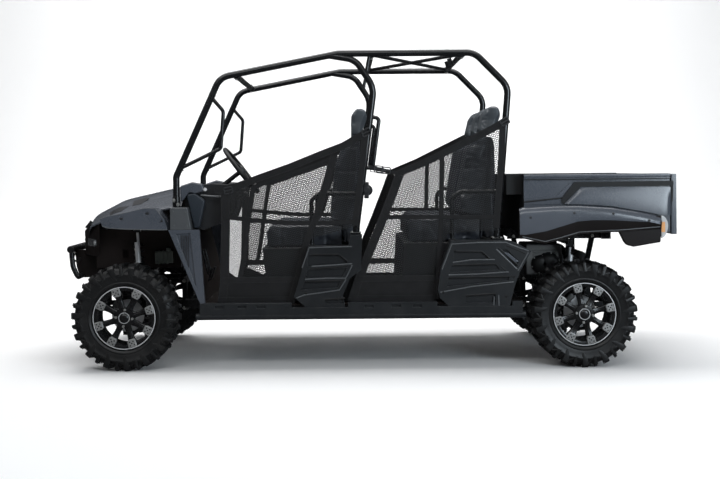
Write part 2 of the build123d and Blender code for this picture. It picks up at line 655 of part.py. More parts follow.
# bumper
BUMPER_X = FRONT_AXLE_X - 444
LEG_Z = 545
bumper_top = rod((BUMPER_X, -BUMPER_HALF, 724), (BUMPER_X, BUMPER_HALF, 724), BUMPER_R)
leg_end = (post_x - POST_W / 2 - FIT, LEG_Z)
leg_path = ((BUMPER_X, 724), (BUMPER_X + 12, 610), (BUMPER_X + 40, LEG_Z), leg_end)
bumper_leg = side_tube(leg_path, [0, 0], 20, -SUB_Y)
bumper_low = rod((BUMPER_X + 47, -SUB_Y, LEG_Z), (BUMPER_X + 47, SUB_Y, LEG_Z), 18)
add("front_bumper", fused(bumper_top, bumper_leg, mirrored(bumper_leg), bumper_low))

# ---- cowl, firewall, dash ----
FIRE_TOP_Z = 1085
FIREWALL = (
    (FIREWALL_X, FIRE_TOP_Z), (DASH_X, FIRE_TOP_Z), (DASH_X, FIRE_KNEE_Z),
    (FIRE_FOOT_X + FIREWALL_T, FLOOR_TOP), (FIRE_FOOT_X, FLOOR_TOP), (FIREWALL_X, FIRE_KNEE_Z),
)
firewall = side_prism(FIREWALL, -DASH_HALF - 3, DASH_HALF + 3)
for s in (-1, 1):
    y = s * (HINGE_Y + LEAF_HALF + 9)
    arm = beam((FIREWALL_X + 1, y, pz - 50), (px, y, pz), 12, 14)
    pin = rod((px, y, pz), (px, s * (HINGE_Y - LEAF_HALF - 2), pz), HOOD_PIN_R)
    firewall = fused(firewall, arm, pin)
add("firewall", firewall)
# the firewall's rear face moved forward by a seat gap, and all behind it
FIREWALL_CLEAR = (
    (FIREWALL_X - FIT, 1200), (FIREWALL_X + 233, 1200), (FIREWALL_X + 233, 300), (FIRE_FOOT_X - FIT, 300),
    (FIRE_FOOT_X - FIT, FLOOR_TOP), (FIREWALL_X - FIT, FIRE_KNEE_Z),
)
COWL = placed(((271, 870), (464, 870), (495, SILL_TOP), (465, SILL_TOP)), FRONT_AXLE_X)
COWL_RECESS = placed(((318, 846), (408, 852), (443, 510)), FRONT_AXLE_X)
cowl_y = (-SILL_Y[1] + 5, -SILL_Y[1] + 45)
cowl = side_prism(COWL, *cowl_y) - side_prism(COWL_RECESS, cowl_y[0] - 1, cowl_y[0] + 12)
# splash liners from the nose's bar to the firewall, under the tower's crossbar, with a window at the spring
LINER_X = (post_x + SUB_W / 2, FIREWALL_X)
LINER_WINDOW = ((FRONT_AXLE_X - 100, FRONT_AXLE_X - 62), (668, 718))
liner_y = (-LINER_Y - LINER_T, -LINER_Y)
liner = box(LINER_X, liner_y, (LINER_LOW_Z, FRONT_TOWER_Z - SUB_W / 2))
liner = liner - box(LINER_WINDOW[0], (-LINER_Y - LINER_T - 1, -LINER_Y + 1), LINER_WINDOW[1])
liner = liner - side_prism(FIREWALL_CLEAR, *liner_y)
add("cowl_panels", pair(cowl), pair(liner))
FOOT = placed(((284, CAGE_FOOT_Z), (390, CAGE_FOOT_Z), (414, 870), (283, 870)), FRONT_AXLE_X)
add("cage_feet", pair(side_prism(FOOT, cowl_y[0], -CAGE_Y + 41)))

DASH = placed((
    (0, 1085), (0, 1140), (165, 1152), (278, 1145), (275, 1057), (220, 900), (115, 862), (0, 900),
), DASH_X)
dash = side_prism(DASH, -DASH_HALF, DASH_HALF)
column_dir = (cos(radians(COLUMN_SLOPE)), sin(radians(COLUMN_SLOPE)))


def on_column(distance):
    """A point on the steering column's axis, distance below the hub."""
    return (HUB_X - distance * column_dir[0], COLUMN_Y, HUB_Z - distance * column_dir[1])


add("dashboard", dash - rod(on_column(0), on_column(500), COLUMN_R + FIT))
column = rod(on_column(-6), on_column(COLUMN_LEN), COLUMN_R)
rack_half = SUB_Y - SUB_W / 2
rack_ends = ((RACK_X, -rack_half, RACK_Z), (RACK_X, rack_half, RACK_Z))
rack_house = rod(*rack_ends, HOUSING_R) - rod(*rack_ends, RACK_R + RUN_FIT)
lower_shaft = rod((FIREWALL_X + 20, -110, 660), (RACK_X, -60, RACK_Z), 10)
lower_shaft = lower_shaft - rod((RACK_X, -200, RACK_Z), (RACK_X, 200, RACK_Z), HOUSING_R + FIT)
lower_shaft = lower_shaft - side_prism(FIREWALL_CLEAR, -400, 400)
add("steering_column", column, lower_shaft)
add("steering_rack", rack_house)

# steering wheel, turned to face the driver
ring = revolve(Plane.XZ * Pos(WHEEL_RIM_R, 0) * RegularPolygon(WHEEL_GRIP_R, 6), Axis.Z)
wheel_hub = Cylinder(38, 40) - Pos(0, 0, -10) * Cylinder(COLUMN_R + RUN_FIT, 34)
wheel_spoke = box((-14, 14), (26, WHEEL_RIM_R), (-6, 6))
wheel = fused(ring, wheel_hub, *[Rot(0, 0, a) * wheel_spoke for a in (90, 210, 330)])
wheel = Rot(0, 90 - COLUMN_SLOPE, 0) * wheel
add("steering_wheel", Pos(HUB_X, COLUMN_Y, HUB_Z) * wheel)

# ---- seats: side views from each row's place and seat height ----
FRONT_CUSHION = ((-574, 0), (-580, 105), (-550, 140), (-56, 143), (-56, 0))
REAR_CUSHION = ((-1092, 0), (-1100, 110), (-1071, 155), (-594, 161), (-594, 0))
FRONT_BACK = (
    (-52, 0), (-52, 148), (-145, 155), (-100, 521), (-20, BACK_H), (46, BACK_H), (32, 455), (18, 0),
)
REAR_BACK = (
    (-589, 0), (-589, 166), (-722, 170), (-740, 241), (-672, 587), (-617, REAR_BACK_H), (-532, REAR_BACK_H),
    (-520, 430), (-512, 0),
)
for name, outline, x, z in (
    ("seat_cushion_front", FRONT_CUSHION, ROW_X, FRONT_SEAT_Z),
    ("seat_cushion_rear", REAR_CUSHION, REAR_AXLE_X, REAR_SEAT_Z),
    ("seat_back_front", FRONT_BACK, ROW_X, FRONT_SEAT_Z),
    ("seat_back_rear", REAR_BACK, REAR_AXLE_X, REAR_SEAT_Z),
):
    add(name, side_prism(placed(outline, x, z), -SEAT_HALF, SEAT_HALF))
FRONT_REST = ((-10, 0), (-2, 135), (30, 174), (80, 167), (90, 135), (44, 0))
REAR_REST = ((-602, 0), (-568, 140), (-537, 178), (-482, 170), (-470, 130), (-534, 0))
rests = []
for outline, x, z in (
    (FRONT_REST, ROW_X, FRONT_SEAT_Z + BACK_H + FIT),
    (REAR_REST, REAR_AXLE_X, REAR_SEAT_Z + REAR_BACK_H + FIT),
):
    rests += [side_prism(placed(outline, x, z), *centred(y, REST_W)) for y in SEAT_Y]
add("headrests", rests)

# ---- cage ----
B_FOOT = (B_FOOT_X, B_STEP_TOP + FOOT_PLATE_T)
C_FOOT = (C_FOOT_X, REAR_BOX_TOP + FOOT_PLATE_T)
GUSSET = ((ROW_X + 112, ROOF_Z), (ROW_X + 86, ROOF_Z - 130))
PLATE_L, PLATE_W = 64, 68


def cage_side():
    y = -CAGE_Y
    main = side_tube(
        (A_FOOT, A_KNEE, A_TOP, ROOF_BEND, C_TOP, C_KNEE, C_FOOT), [0, 110, 0, 120, 120], CAGE_R, y
    )
    b_pillar = side_tube((B_ROOF, B_BEND, B_KNEE, B_FOOT), [120, 160], CAGE_R, y)
    gusset = rod((GUSSET[0][0], y, GUSSET[0][1]), (GUSSET[1][0], y, GUSSET[1][1]), 12)
    top, low = along(A_KNEE, A_TOP, 0.80), along(A_KNEE, A_TOP, 0.08)
    middle = along(A_KNEE, A_TOP, 0.35)
    loop = side_tube(
        (top, (top[0] + 76, top[1] - 88), (middle[0] + 184, middle[1] - 43), low), [0, 0], LOOP_R, y
    )
    grab_top, grab_low = along(B_KNEE, B_FOOT, 0.2), along(B_KNEE, B_FOOT, 0.555)
    grab = side_tube(
        (grab_top, (grab_top[0] + 56, grab_top[1] - 12), (grab_low[0] + 56, grab_low[1]), grab_low),
        [0, 0], GRAB_R, y,
    )
    plates = [
        box(centred(x, PLATE_L), centred(y, PLATE_W), (z - FOOT_PLATE_T, z)) for x, z in (B_FOOT, C_FOOT)
    ]
    return fused(main, b_pillar, gusset, loop, grab, *plates)


left_cage = cage_side()
add("cage_left", left_cage)
add("cage_right", mirrored(left_cage))

FRONT_BAR_X = A_TOP[0] + 92
front_bar_z = along(A_TOP, ROOF_BEND, (FRONT_BAR_X - A_TOP[0]) / (ROOF_BEND[0] - A_TOP[0]))[1]
bar_end = CAGE_Y - CAGE_R - FIT
MID_BAR_X, REAR_BAR_X = ROW_X + 120, REAR_AXLE_X - 722
bars = [
    rod((x, -bar_end, z), (x, bar_end, z), BAR_R)
    for x, z in ((FRONT_BAR_X, front_bar_z), (MID_BAR_X, ROOF_Z), (REAR_BAR_X, ROOF_Z))
]
brace_y = bar_end - 69
brace = rod((MID_BAR_X, -brace_y, ROOF_Z), (REAR_BAR_X, brace_y, ROOF_Z), LOOP_R)
add("cage_roof_frame", bars[0], fused(*bars[1:], brace, mirrored(brace)))

# ---- restraint bars beside the seats, standing on the boxes and ending beside the pillars ----
FRONT_HIP = placed(((-265, 0), (-265, 270), (-249, 309), (-210, 325), (40, 325)), ROW_X, FRONT_BOX_TOP)
REAR_HIP = placed(((-800, 0), (-800, 247), (-784, 286), (-745, 302), (-517, 302)), REAR_AXLE_X, REAR_BOX_TOP)
hips = [side_tube(path, [0, 0, 0], HIP_R, -HIP_Y) for path in (FRONT_HIP, REAR_HIP)]
add("hip_bars", pair(hips[0]) + pair(hips[1]))

# ---- side nets: x of each point from the front axle, the front row or the rear axle ----
NET_LOW = FLOOR_TOP + FIT
FRONT_NET = (
    *placed(((595, 430), (637, 1139), (873, 1195)), FRONT_AXLE_X),
    *placed((
        (-130, 1330), (98, 1490), (72, 1280), (48, 1100), (19, 880), (-292, 800), (-345, 620), (-395, 450),
        (-395, NET_LOW),
    ), ROW_X),
    *placed(((603, NET_LOW),), FRONT_AXLE_X),
)
REAR_NET = (
    *placed(((-10, NET_LOW), (0, 545), (65, 600), (65, 740), (281, 1224)), ROW_X),
    *placed((
        (-876, 1347), (-498, 1507), (-462, 1540), (-482, 1300), (-520, 850), (-832, 830), (-917, 620),
        (-922, NET_LOW),
    ), REAR_AXLE_X),
)
# see-through gap behind the front net's leading strap
NET_GAP = placed(((650, 560), (682, 1090), (730, 1110), (720, 700)), FRONT_AXLE_X)
front_net = side_prism(FRONT_NET, -NET_Y - NET_T, -NET_Y)
front_net = front_net - side_prism(NET_GAP, -NET_Y - NET_T - 1, -NET_Y + 1)
add("side_nets_front", pair(front_net))
add("side_nets_rear", pair(side_prism(REAR_NET, -NET_Y - NET_T, -NET_Y)))

# ---- drive line ----
engine_z = (SUB_MID_Z + SUB_W / 2, REAR_TOWER_Z - 20)
add("engine_block", box((REAR_SUB_X[0] + 35, REAR_AXLE_X - 22), (-SUB_Y, SUB_Y), engine_z))
SHAFT_R, BOOT_R = 14, 32
CASE_Z = (RAIL_Z + 15, RAIL_Z + 140)
CASE_HALF = 130
DIFF_Z = RAIL_Z + 70


def axle_drive(x, shaft_end, end_z):
    """A final drive on its frame, with a half shaft and its outer boot to each wheel."""
    case = box(centred(x, 150), (-CASE_HALF, CASE_HALF), CASE_Z)
    low_top = SUB_LOW_Z + SUB_W / 2
    case = case + box(centred(x, 90), (-SUB_Y - 10, SUB_Y + 10), (low_top, low_top + 20))
    start, end = (x, -CASE_HALF + 5, DIFF_Z), (x, -shaft_end, end_z)
    shaft = rod(start, end, SHAFT_R)
    boot = rod(along(start, end, 0.86), end, BOOT_R)
    return fused(case, shaft, boot, mirrored(shaft), mirrored(boot))


front_drive = axle_drive(FRONT_AXLE_X, KINGPIN_Y - 50, AXLE_Z + 8)
rear_drive = axle_drive(REAR_AXLE_X, REAR_HUB_Y - 22, AXLE_Z + 4)
add("axle_drives", front_drive, rear_drive)
add("front_arms", front_arms())
add("rear_arms", rear_arms())
EYE_RISE = 22
shocks = []
for x, tower_x, tower_y, tower_z, y_out in (
    (FRONT_AXLE_X + 62, FRONT_TOWER_X, TOWER_Y, FRONT_TOWER_Z, KINGPIN_Y),
    (REAR_AXLE_X - 62, REAR_TOWER_X, TOWER_Y - 14, REAR_TOWER_Z, REAR_HUB_Y),
):
    low = (x, -SHOCK_LOW_Y, lower_arm_top(SHOCK_LOW_Y, y_out) + EYE_RISE)
    shocks += pair(shock(low, (tower_x, -tower_y, tower_z - SUB_W / 2 - 4)))
add("shock_absorbers", shocks)

# ---- hitch ----
hitch_z = SUB_LOW_Z + SUB_W / 2
HITCH_W, HITCH_WALL, HITCH_X = 64, 6.4, (REAR_SUB_X[1] - SUB_W, REAR_SUB_X[1] + 80)
receiver = box(HITCH_X, centred(0, HITCH_W), (hitch_z, hitch_z + HITCH_W))
hole_z = (hitch_z + HITCH_WALL, hitch_z + HITCH_W - HITCH_WALL)
hole = box((HITCH_X[0] + 17, HITCH_X[1] + 1), centred(0, HITCH_W - 2 * HITCH_WALL), hole_z)
add("rear_hitch", receiver - hole)

# ---- cargo bed ----
x0, x1 = BED_X
inner_half = BED_Y - SIDE_WALL
shell = box(BED_X, (-BED_Y, BED_Y), (BED_FLOOR_Z, BED_TOP))
cavity = box((x0 + BED_WALL, x1 + 1), (-inner_half, inner_half), (BED_FLOOR_Z + BED_FLOOR_T, BED_TOP + 1))
HEAD_LIP, HEAD_LIP_H = 96, 126
lip = box((x0 - HEAD_LIP, x0 + 1), (-inner_half + 20, inner_half - 20), (BED_TOP - HEAD_LIP_H, BED_TOP))
bx, bz = BED_PIVOT
EAR_Y = BED_RAIL_Y + BED_RAIL_W / 2 + 5
ear = box(centred(bx, 60), (-EAR_Y - 20, -EAR_Y), (bz - 26, BED_FLOOR_Z + 1))
# side panels: a top rail, and a lower panel stepped out behind the sloping line
RAIL_BAND_H, PANEL_OUT = 34, 6
band = box(BED_X, (-BED_Y - PANEL_OUT, -BED_Y + 1), (BED_TOP - RAIL_BAND_H, BED_TOP))
LOWER_PANEL = placed(
    ((-362, 178), (-362, 206), (-160, 226), (-80, 304), (538, 304), (538, 178)), REAR_AXLE_X, BED_FLOOR_Z
)
RAISED_PANEL = placed(
    ((-118, 182), (-48, 280), (520, 280), (520, 182)), REAR_AXLE_X, BED_FLOOR_Z
)
lower_panel = side_prism(LOWER_PANEL, -BED_Y - PANEL_OUT, -BED_Y + 1)
raised = side_prism(RAISED_PANEL, -BED_Y - 2 * PANEL_OUT, -BED_Y + 1)
bed = fused(shell - cavity, lip, *pair(ear), *pair(band), *pair(lower_panel), *pair(raised))
bed = bed - rod((bx, -BED_Y, bz), (bx, BED_Y, bz), BED_PIN_R + RUN_FIT)
gx, gz = GATE_PIVOT
LUG_R, LUG_W = 9, 22
for s in (-1, 1):
    y = s * GATE_HINGE_Y
    lug = box((x1 - 20, gx + LUG_R - 1), centred(y, LUG_W), centred(gz, 2 * LUG_R))
    bed = bed + lug - rod((gx, y - LUG_W, gz), (gx, y + LUG_W, gz), GATE_PIN_R + RUN_FIT)
add("bed_box", bed)

# flares over the rear wheels, open below; x from the rear axle, z from the bed's floor
BED_FENDER = placed((
    (-395, 145), (-148, 172), (98, 172), (345, 132), (478, 105), (478, 27), (220, 10), (-27, 0),
    (-150, -36), (-243, -60), (-397, -21),
), REAR_AXLE_X, BED_FLOOR_Z)
WHEEL_ARCH = placed((
    (-330, -100), (-300, 20), (-150, 96), (98, 104), (330, 74), (330, -100),
), REAR_AXLE_X, BED_FLOOR_Z)
TAIL_BOX = placed(
    ((247, 20), (247, -49), (265, -74), (309, -87), (478, -58), (478, 30)), REAR_AXLE_X, BED_FLOOR_Z
)
flare = side_prism(BED_FENDER, -FLARE_Y, -BED_Y - FIT)
FLARE_SLOPE = 34                    # how far its top slopes in towards the bed
upper_edges = [
    e for e in flare.edges()
    if e.center().Y < -FLARE_Y + 1 and e.center().Z > BED_FLOOR_Z + 100
]
flare = chamfer(upper_edges, FLARE_SLOPE)
flare = flare - side_prism(WHEEL_ARCH, -FLARE_Y + 10, -BED_Y - 12)
tail_box = side_prism(TAIL_BOX, -FLARE_Y + 24, -BED_Y - FIT)
add("bed_fenders", pair(fused(flare, tail_box)))
TAIL_LAMP = placed(
    ((478, 105), (498, 105), (534, 49), (528, -7), (496, -56), (478, -56)), REAR_AXLE_X, BED_FLOOR_Z
)
add("tail_lamps", pair(side_prism(TAIL_LAMP, -FLARE_Y + 14, -BED_Y - FIT)))

# tailgate on two pins in lugs of the bed
gate_x = (x1 + GATE_GAP, x1 + GATE_GAP + GATE_T)
gate = box(gate_x, (-GATE_HALF, GATE_HALF), (BED_FLOOR_Z - 15, BED_TOP - 4))
for s in (-1, 1):
    y = s * GATE_HINGE_Y
    gate = gate - rod((gx, y - LUG_W / 2 - 6, gz), (gx, y + LUG_W / 2 + 6, gz), 30)
    gate = gate + rod((gx, y - LUG_W, gz), (gx, y + LUG_W, gz), GATE_PIN_R)
add("tailgate", gate)


def write(name, solids):
    shape = solids[0] if len(solids) == 1 else Compound(solids)
    export_step(shape, f"parts/{name}.step")


for name, solids in nodes.items():
    write(name, solids)
print(len(nodes), "nodes")
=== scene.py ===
"""Looks of a crew side-by-side utility vehicle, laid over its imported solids."""

import json
from math import cos, pi, radians, sin

import bmesh
import bpy
import numpy as np
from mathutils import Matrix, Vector

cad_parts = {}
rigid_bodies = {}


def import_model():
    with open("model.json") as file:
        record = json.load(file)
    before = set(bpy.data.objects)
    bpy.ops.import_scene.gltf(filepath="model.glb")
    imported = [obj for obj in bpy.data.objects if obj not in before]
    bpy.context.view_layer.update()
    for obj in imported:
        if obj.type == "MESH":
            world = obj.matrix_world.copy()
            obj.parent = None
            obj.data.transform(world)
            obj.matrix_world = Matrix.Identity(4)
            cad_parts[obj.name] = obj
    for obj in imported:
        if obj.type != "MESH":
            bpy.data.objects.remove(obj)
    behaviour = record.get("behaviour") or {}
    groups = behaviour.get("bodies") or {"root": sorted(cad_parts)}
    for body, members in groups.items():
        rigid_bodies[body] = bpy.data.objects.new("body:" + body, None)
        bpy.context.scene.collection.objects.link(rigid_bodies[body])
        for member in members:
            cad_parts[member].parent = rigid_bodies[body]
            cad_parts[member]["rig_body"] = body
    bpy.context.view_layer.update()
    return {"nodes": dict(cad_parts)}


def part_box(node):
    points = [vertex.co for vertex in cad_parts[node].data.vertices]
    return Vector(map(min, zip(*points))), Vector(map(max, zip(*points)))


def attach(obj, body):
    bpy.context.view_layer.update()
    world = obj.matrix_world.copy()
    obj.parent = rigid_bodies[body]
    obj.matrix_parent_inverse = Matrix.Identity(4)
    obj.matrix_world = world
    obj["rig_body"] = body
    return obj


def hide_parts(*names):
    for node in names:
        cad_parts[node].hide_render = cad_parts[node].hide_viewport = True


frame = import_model()

bl_info = {
    "name": "Side-by-side utility vehicle",
    "version": (1, 0, 0),
    "blender": (4, 5, 0),
    "location": "View3D > Sidebar > Vehicle",
    "description": "Dresses the packed solids of a crew side-by-side utility vehicle",
    "category": "Object",
}

MM = 0.001


# ---------------- places read from the frame ----------------

def low(node):
    return np.array(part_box(node)[0])


def high(node):
    return np.array(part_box(node)[1])


def middle(node):
    return (low(node) + high(node)) / 2


FRONT_AXLE = middle("tyre_front_left")
REAR_AXLE = middle("tyre_rear_left")
TYRE_R = (high("tyre_front_left")[2] - low("tyre_front_left")[2]) / 2
FRONT_X, REAR_X = float(FRONT_AXLE[0]), float(REAR_AXLE[0])
ROW_X = (FRONT_X + REAR_X) / 2 + 0.0005


def front(x):
    """An x measured from the front axle, in millimetres, as a place in metres."""
    return FRONT_X + x * MM


def row(x):
    return ROW_X + x * MM


def rear(x):
    return REAR_X + x * MM


# ---------------- mesh making ----------------

def as_faces(index):
    """Quads of a grid of point numbers: a point, its neighbour and the two below them in the next row."""
    a, b, c, d = index[:-1, :-1], index[:-1, 1:], index[1:, 1:], index[1:, :-1]
    return np.stack([a, b, c, d], axis=-1).reshape(-1, 4)


def grid_faces(nu, nv, wrap_u=False, wrap_v=False, flip=False):
    """Quads over an nu by nv grid, closed round on either side when asked."""
    index = np.arange(nu * nv).reshape(nu, nv)
    if wrap_u:
        index = np.vstack([index, index[:1]])
    if wrap_v:
        index = np.hstack([index, index[:, :1]])
    quads = as_faces(index)
    return quads[:, ::-1] if flip else quads


def surface(points, wrap_u=False, wrap_v=False, flip=False):
    """A mesh of (vertices, faces) through an nu by nv grid of points."""
    nu, nv = points.shape[:2]
    return points.reshape(-1, 3), grid_faces(nu, nv, wrap_u, wrap_v, flip).tolist()


def capped(points, flip=False):
    """A skin of rings (n rings of m points, each closed) with a flat cap on both ends."""
    n, m = points.shape[:2]
    faces = grid_faces(n, m, wrap_v=True, flip=flip).tolist()
    first, last = list(range(m)), list(range((n - 1) * m, n * m))
    faces += [first[::-1] if not flip else first, last if not flip else last[::-1]]
    return points.reshape(-1, 3), faces


def merged(parts):
    """Several (vertices, faces) as one."""
    verts, faces, start = [], [], 0
    for v, f in parts:
        verts.append(np.asarray(v, float))
        faces += [[i + start for i in face] for face in f]
        start += len(v)
    return np.vstack(verts), faces


def moved(part, shift=(0, 0, 0), turn=None):
    """A part turned by a 3x3 matrix about the origin and then moved."""
    v, f = part
    v = np.asarray(v, float)
    if turn is not None:
        v = v @ np.asarray(turn).T
    return v + np.asarray(shift, float), f


def flipped(part):
    v, f = part
    return v, [face[::-1] for face in f]


def mirrored(part):
    """The part's image on the other side, its faces turned to point outwards again."""
    v, f = part
    return v * np.array([1, -1, 1]), [face[::-1] for face in f]


def pair(part):
    return merged([part, mirrored(part)])


def turn_y(angle):
    c, s = cos(angle), sin(angle)
    return np.array([[c, 0, s], [0, 1, 0], [-s, 0, c]])


def turn_x(angle):
    c, s = cos(angle), sin(angle)
    return np.array([[1, 0, 0], [0, c, -s], [0, s, c]])


def turn_z(angle):
    c, s = cos(angle), sin(angle)
    return np.array([[c, -s, 0], [s, c, 0], [0, 0, 1]])


def frame_to(direction):
    """A 3x3 matrix whose z column is the direction."""
    z = np.asarray(direction, float)
    z = z / np.linalg.norm(z)
    side = np.array([0, 1.0, 0]) if abs(z[1]) < 0.9 else np.array([1.0, 0, 0])
    x = np.cross(side, z)
    x /= np.linalg.norm(x)
    return np.stack([x, np.cross(z, x), z], axis=1)


def lathe(profile, steps=96):
    """A profile of (radius, y) points turned about the Y axis; the outline closes on itself."""
    p = np.asarray(profile, float)
    a = np.linspace(0, 2 * pi, steps, endpoint=False)
    ring = np.stack([
        p[None, :, 0] * np.sin(a)[:, None], np.broadcast_to(p[None, :, 1], (steps, len(p))),
        p[None, :, 0] * np.cos(a)[:, None],
    ], axis=-1)
    return surface(ring, wrap_u=True, wrap_v=True)


def disc_lathe(profile, steps=64):
    """A profile of (radius, y) points turned about the Y axis, its first and last points on the axis."""
    p = np.asarray(profile, float)
    inner = p[1:-1]
    a = np.linspace(0, 2 * pi, steps, endpoint=False)
    ring = np.stack([
        inner[:, None, 0] * np.sin(a), np.broadcast_to(inner[:, None, 1], (len(inner), steps)),
        inner[:, None, 0] * np.cos(a),
    ], axis=-1)
    verts = np.vstack([ring.reshape(-1, 3), [[0, p[0, 1], 0]], [[0, p[-1, 1], 0]]])
    faces = grid_faces(len(inner), steps, wrap_v=True).tolist()
    top, bottom = len(verts) - 2, len(verts) - 1
    last = (len(inner) - 1) * steps
    for i in range(steps):
        k = (i + 1) % steps
        faces.append([top, k, i])
        faces.append([bottom, last + i, last + k])
    return verts, faces


def arcs(points, bends, step=radians(7)):
    """A path through points whose corners are rounded to the bend radii by arcs."""
    p = [np.asarray(q, float) for q in points]
    out = [p[0]]
    for i, bend in enumerate(bends, 1):
        before, after = p[i] - p[i - 1], p[i + 1] - p[i]
        before, after = before / np.linalg.norm(before), after / np.linalg.norm(after)
        turn = np.arccos(np.clip(before @ after, -1, 1))
        reach = bend * np.tan(turn / 2)
        normal = np.cross(before, after)
        normal /= np.linalg.norm(normal)
        toward = np.cross(normal, before)
        begin = p[i] - before * reach
        centre = begin + toward * bend
        a = np.linspace(0, turn, max(2, int(turn / step) + 2))[:, None]
        out.extend(centre - toward * bend * np.cos(a) + before * bend * np.sin(a))
    out.append(p[-1])
    return np.array(out)


def circle(r, n=20):
    a = np.linspace(0, 2 * pi, n, endpoint=False)
    return np.stack([r * np.cos(a), r * np.sin(a)], axis=-1)


def rounded_box(w, h, r, n=4):
    """A closed section w by h with rounded corners, corner by corner."""
    out = []
    for k, (sx, sy) in enumerate(((1, 1), (-1, 1), (-1, -1), (1, -1))):
        a = np.linspace(0, pi / 2, n) + k * pi / 2
        centre = np.array([sx * (w / 2 - r), sy * (h / 2 - r)])
        out.append(centre + r * np.stack([np.cos(a), np.sin(a)], axis=-1))
    return np.vstack(out)


def carried(path, section, closed=False, up=(0, 1, 0), scale=None):
    """A section carried along a path: each ring stands square to the path's direction there."""
    path = np.asarray(path, float)
    if closed:
        tangent = np.roll(path, -1, 0) - np.roll(path, 1, 0)
    else:
        tangent = np.gradient(path, axis=0)
        step = np.diff(path, axis=0)
        tangent[0], tangent[-1] = step[0], step[-1]
    tangent /= np.linalg.norm(tangent, axis=1)[:, None]
    u = np.broadcast_to(np.asarray(up, float), tangent.shape).copy()
    u = u - tangent * (u * tangent).sum(1)[:, None]
    weak = np.linalg.norm(u, axis=1) < 1e-4
    u[weak] = np.cross(tangent[weak], np.array([1.0, 0, 0])) + 1e-9
    u /= np.linalg.norm(u, axis=1)[:, None]
    side = np.cross(tangent, u)
    s = np.ones(len(path)) if scale is None else np.asarray(scale, float)
    rings = (
        path[:, None] + (side[:, None] * section[None, :, :1] + u[:, None] * section[None, :, 1:])
        * s[:, None, None]
    )
    if closed:
        return surface(rings, wrap_u=True, wrap_v=True)
    return capped(rings)


def tube(points, bends, r, n=20):
    """A round tube through points with rounded bends; its section is a circle of n points."""
    path = arcs(points, bends) if len(bends) else np.asarray(points, float)
    return carried(path, circle(r, n))


def rod(p, q, r, n=20):
    return carried([p, q], circle(r, n), up=(0, 1, 0.3))


def slab(points, low_y, high_y):
    """A side view outline of (x, z) points carried straight from low_y to high_y, closed at both ends."""
    p = np.asarray(points, float)
    near = np.column_stack([p[:, 0], np.full(len(p), low_y), p[:, 1]])
    far = near + np.array([0, high_y - low_y, 0])
    n = len(p)
    faces = [[i, (i + 1) % n, n + (i + 1) % n, n + i] for i in range(n)]
    area = np.sum(p[:, 0] * np.roll(p[:, 1], -1) - np.roll(p[:, 0], -1) * p[:, 1])
    faces += [list(range(n))[::-1], list(range(n, 2 * n))]
    part = np.vstack([near, far]), faces
    return flipped(part) if area > 0 else part


def block(x, y, z):
    """A box from three (low, high) pairs."""
    return slab([(x[0], z[0]), (x[1], z[0]), (x[1], z[1]), (x[0], z[1])], y[0], y[1])


def bolt(place, direction, r, height, sides=6):
    """A hexagon head with a washer under it, standing on a place."""
    a = np.linspace(0, 2 * pi, 20, endpoint=False)
    edge = np.stack([np.cos(a), np.sin(a), 0 * a], axis=-1) * r * 1.35
    parts = [capped(np.stack([edge, edge + [0, 0, height * 0.22]]))]
    b = np.linspace(0, 2 * pi, sides, endpoint=False)
    shape = [(r, height * 0.22), (r, height * 0.9), (r * 0.86, height)]
    head = np.stack([np.stack([k * np.cos(b), k * np.sin(b), np.full(sides, z)], axis=-1) for k, z in shape])
    parts.append(capped(head))
    return moved(merged(parts), place, frame_to(direction))


def into_scene(name, data):
    """A new object of the mesh, light or camera, linked to the scene."""
    obj = bpy.data.objects.new(name, data)
    bpy.context.scene.collection.objects.link(obj)
    return obj


def piece(
    name, part, finish, body="chassis", replaces=(), slot=None, bevel=0.0, segments=2, angle=32, uv=None,
    zones=(),
):
    """Puts a part into the scene as a finished piece that rides on a body.

    Each zone is (finish, test): the test gets the faces' middles and normals and picks its own."""
    verts, faces = part
    mesh = bpy.data.meshes.new(name)
    mesh.from_pydata(np.asarray(verts, float).tolist(), [], faces)
    mesh.validate()
    outwards(mesh)
    obj = into_scene(name, mesh)
    mesh.materials.append(FINISH[finish])
    paint_zones(mesh, zones)
    finish_mesh(obj, bevel, segments, angle)
    if uv is not None:
        put_uv(mesh, uv)
    return seat(obj, body, replaces, slot or usual_slot(finish))


def paint_zones(mesh, zones):
    """Gives the faces that pass a zone's test the zone's finish; a later zone wins over an earlier one."""
    if not zones:
        return
    n = len(mesh.polygons)
    middles, normals, index = np.empty(n * 3), np.empty(n * 3), np.zeros(n, np.int32)
    mesh.polygons.foreach_get("center", middles)
    mesh.polygons.foreach_get("normal", normals)
    for finish, test in zones:
        index[test(middles.reshape(n, 3), normals.reshape(n, 3))] = len(mesh.materials)
        mesh.materials.append(FINISH[finish])
    mesh.polygons.foreach_set("material_index", index)


def outwards(mesh):
    """Turns the faces of every closed shell in the mesh to point outwards."""
    bm = bmesh.new()
    bm.from_mesh(mesh)
    bmesh.ops.recalc_face_normals(bm, faces=bm.faces)
    bm.to_mesh(mesh)
    bm.free()


def finish_mesh(obj, bevel, segments, angle):
    """Shades a mesh smooth up to an angle, and rounds its edges with a bevel of the given width."""
    mesh = obj.data
    mesh.shade_smooth()
    if bevel:
        m = obj.modifiers.new("edges", "BEVEL")
        m.width, m.segments, m.limit_method, m.angle_limit = bevel, segments, "ANGLE", radians(angle)
        m.harden_normals = True
        m.use_clamp_overlap = True
        mesh.set_sharp_from_angle(angle=radians(180))
        w = obj.modifiers.new("shading", "WEIGHTED_NORMAL")
        w.keep_sharp = False
    else:
        mesh.set_sharp_from_angle(angle=radians(angle))


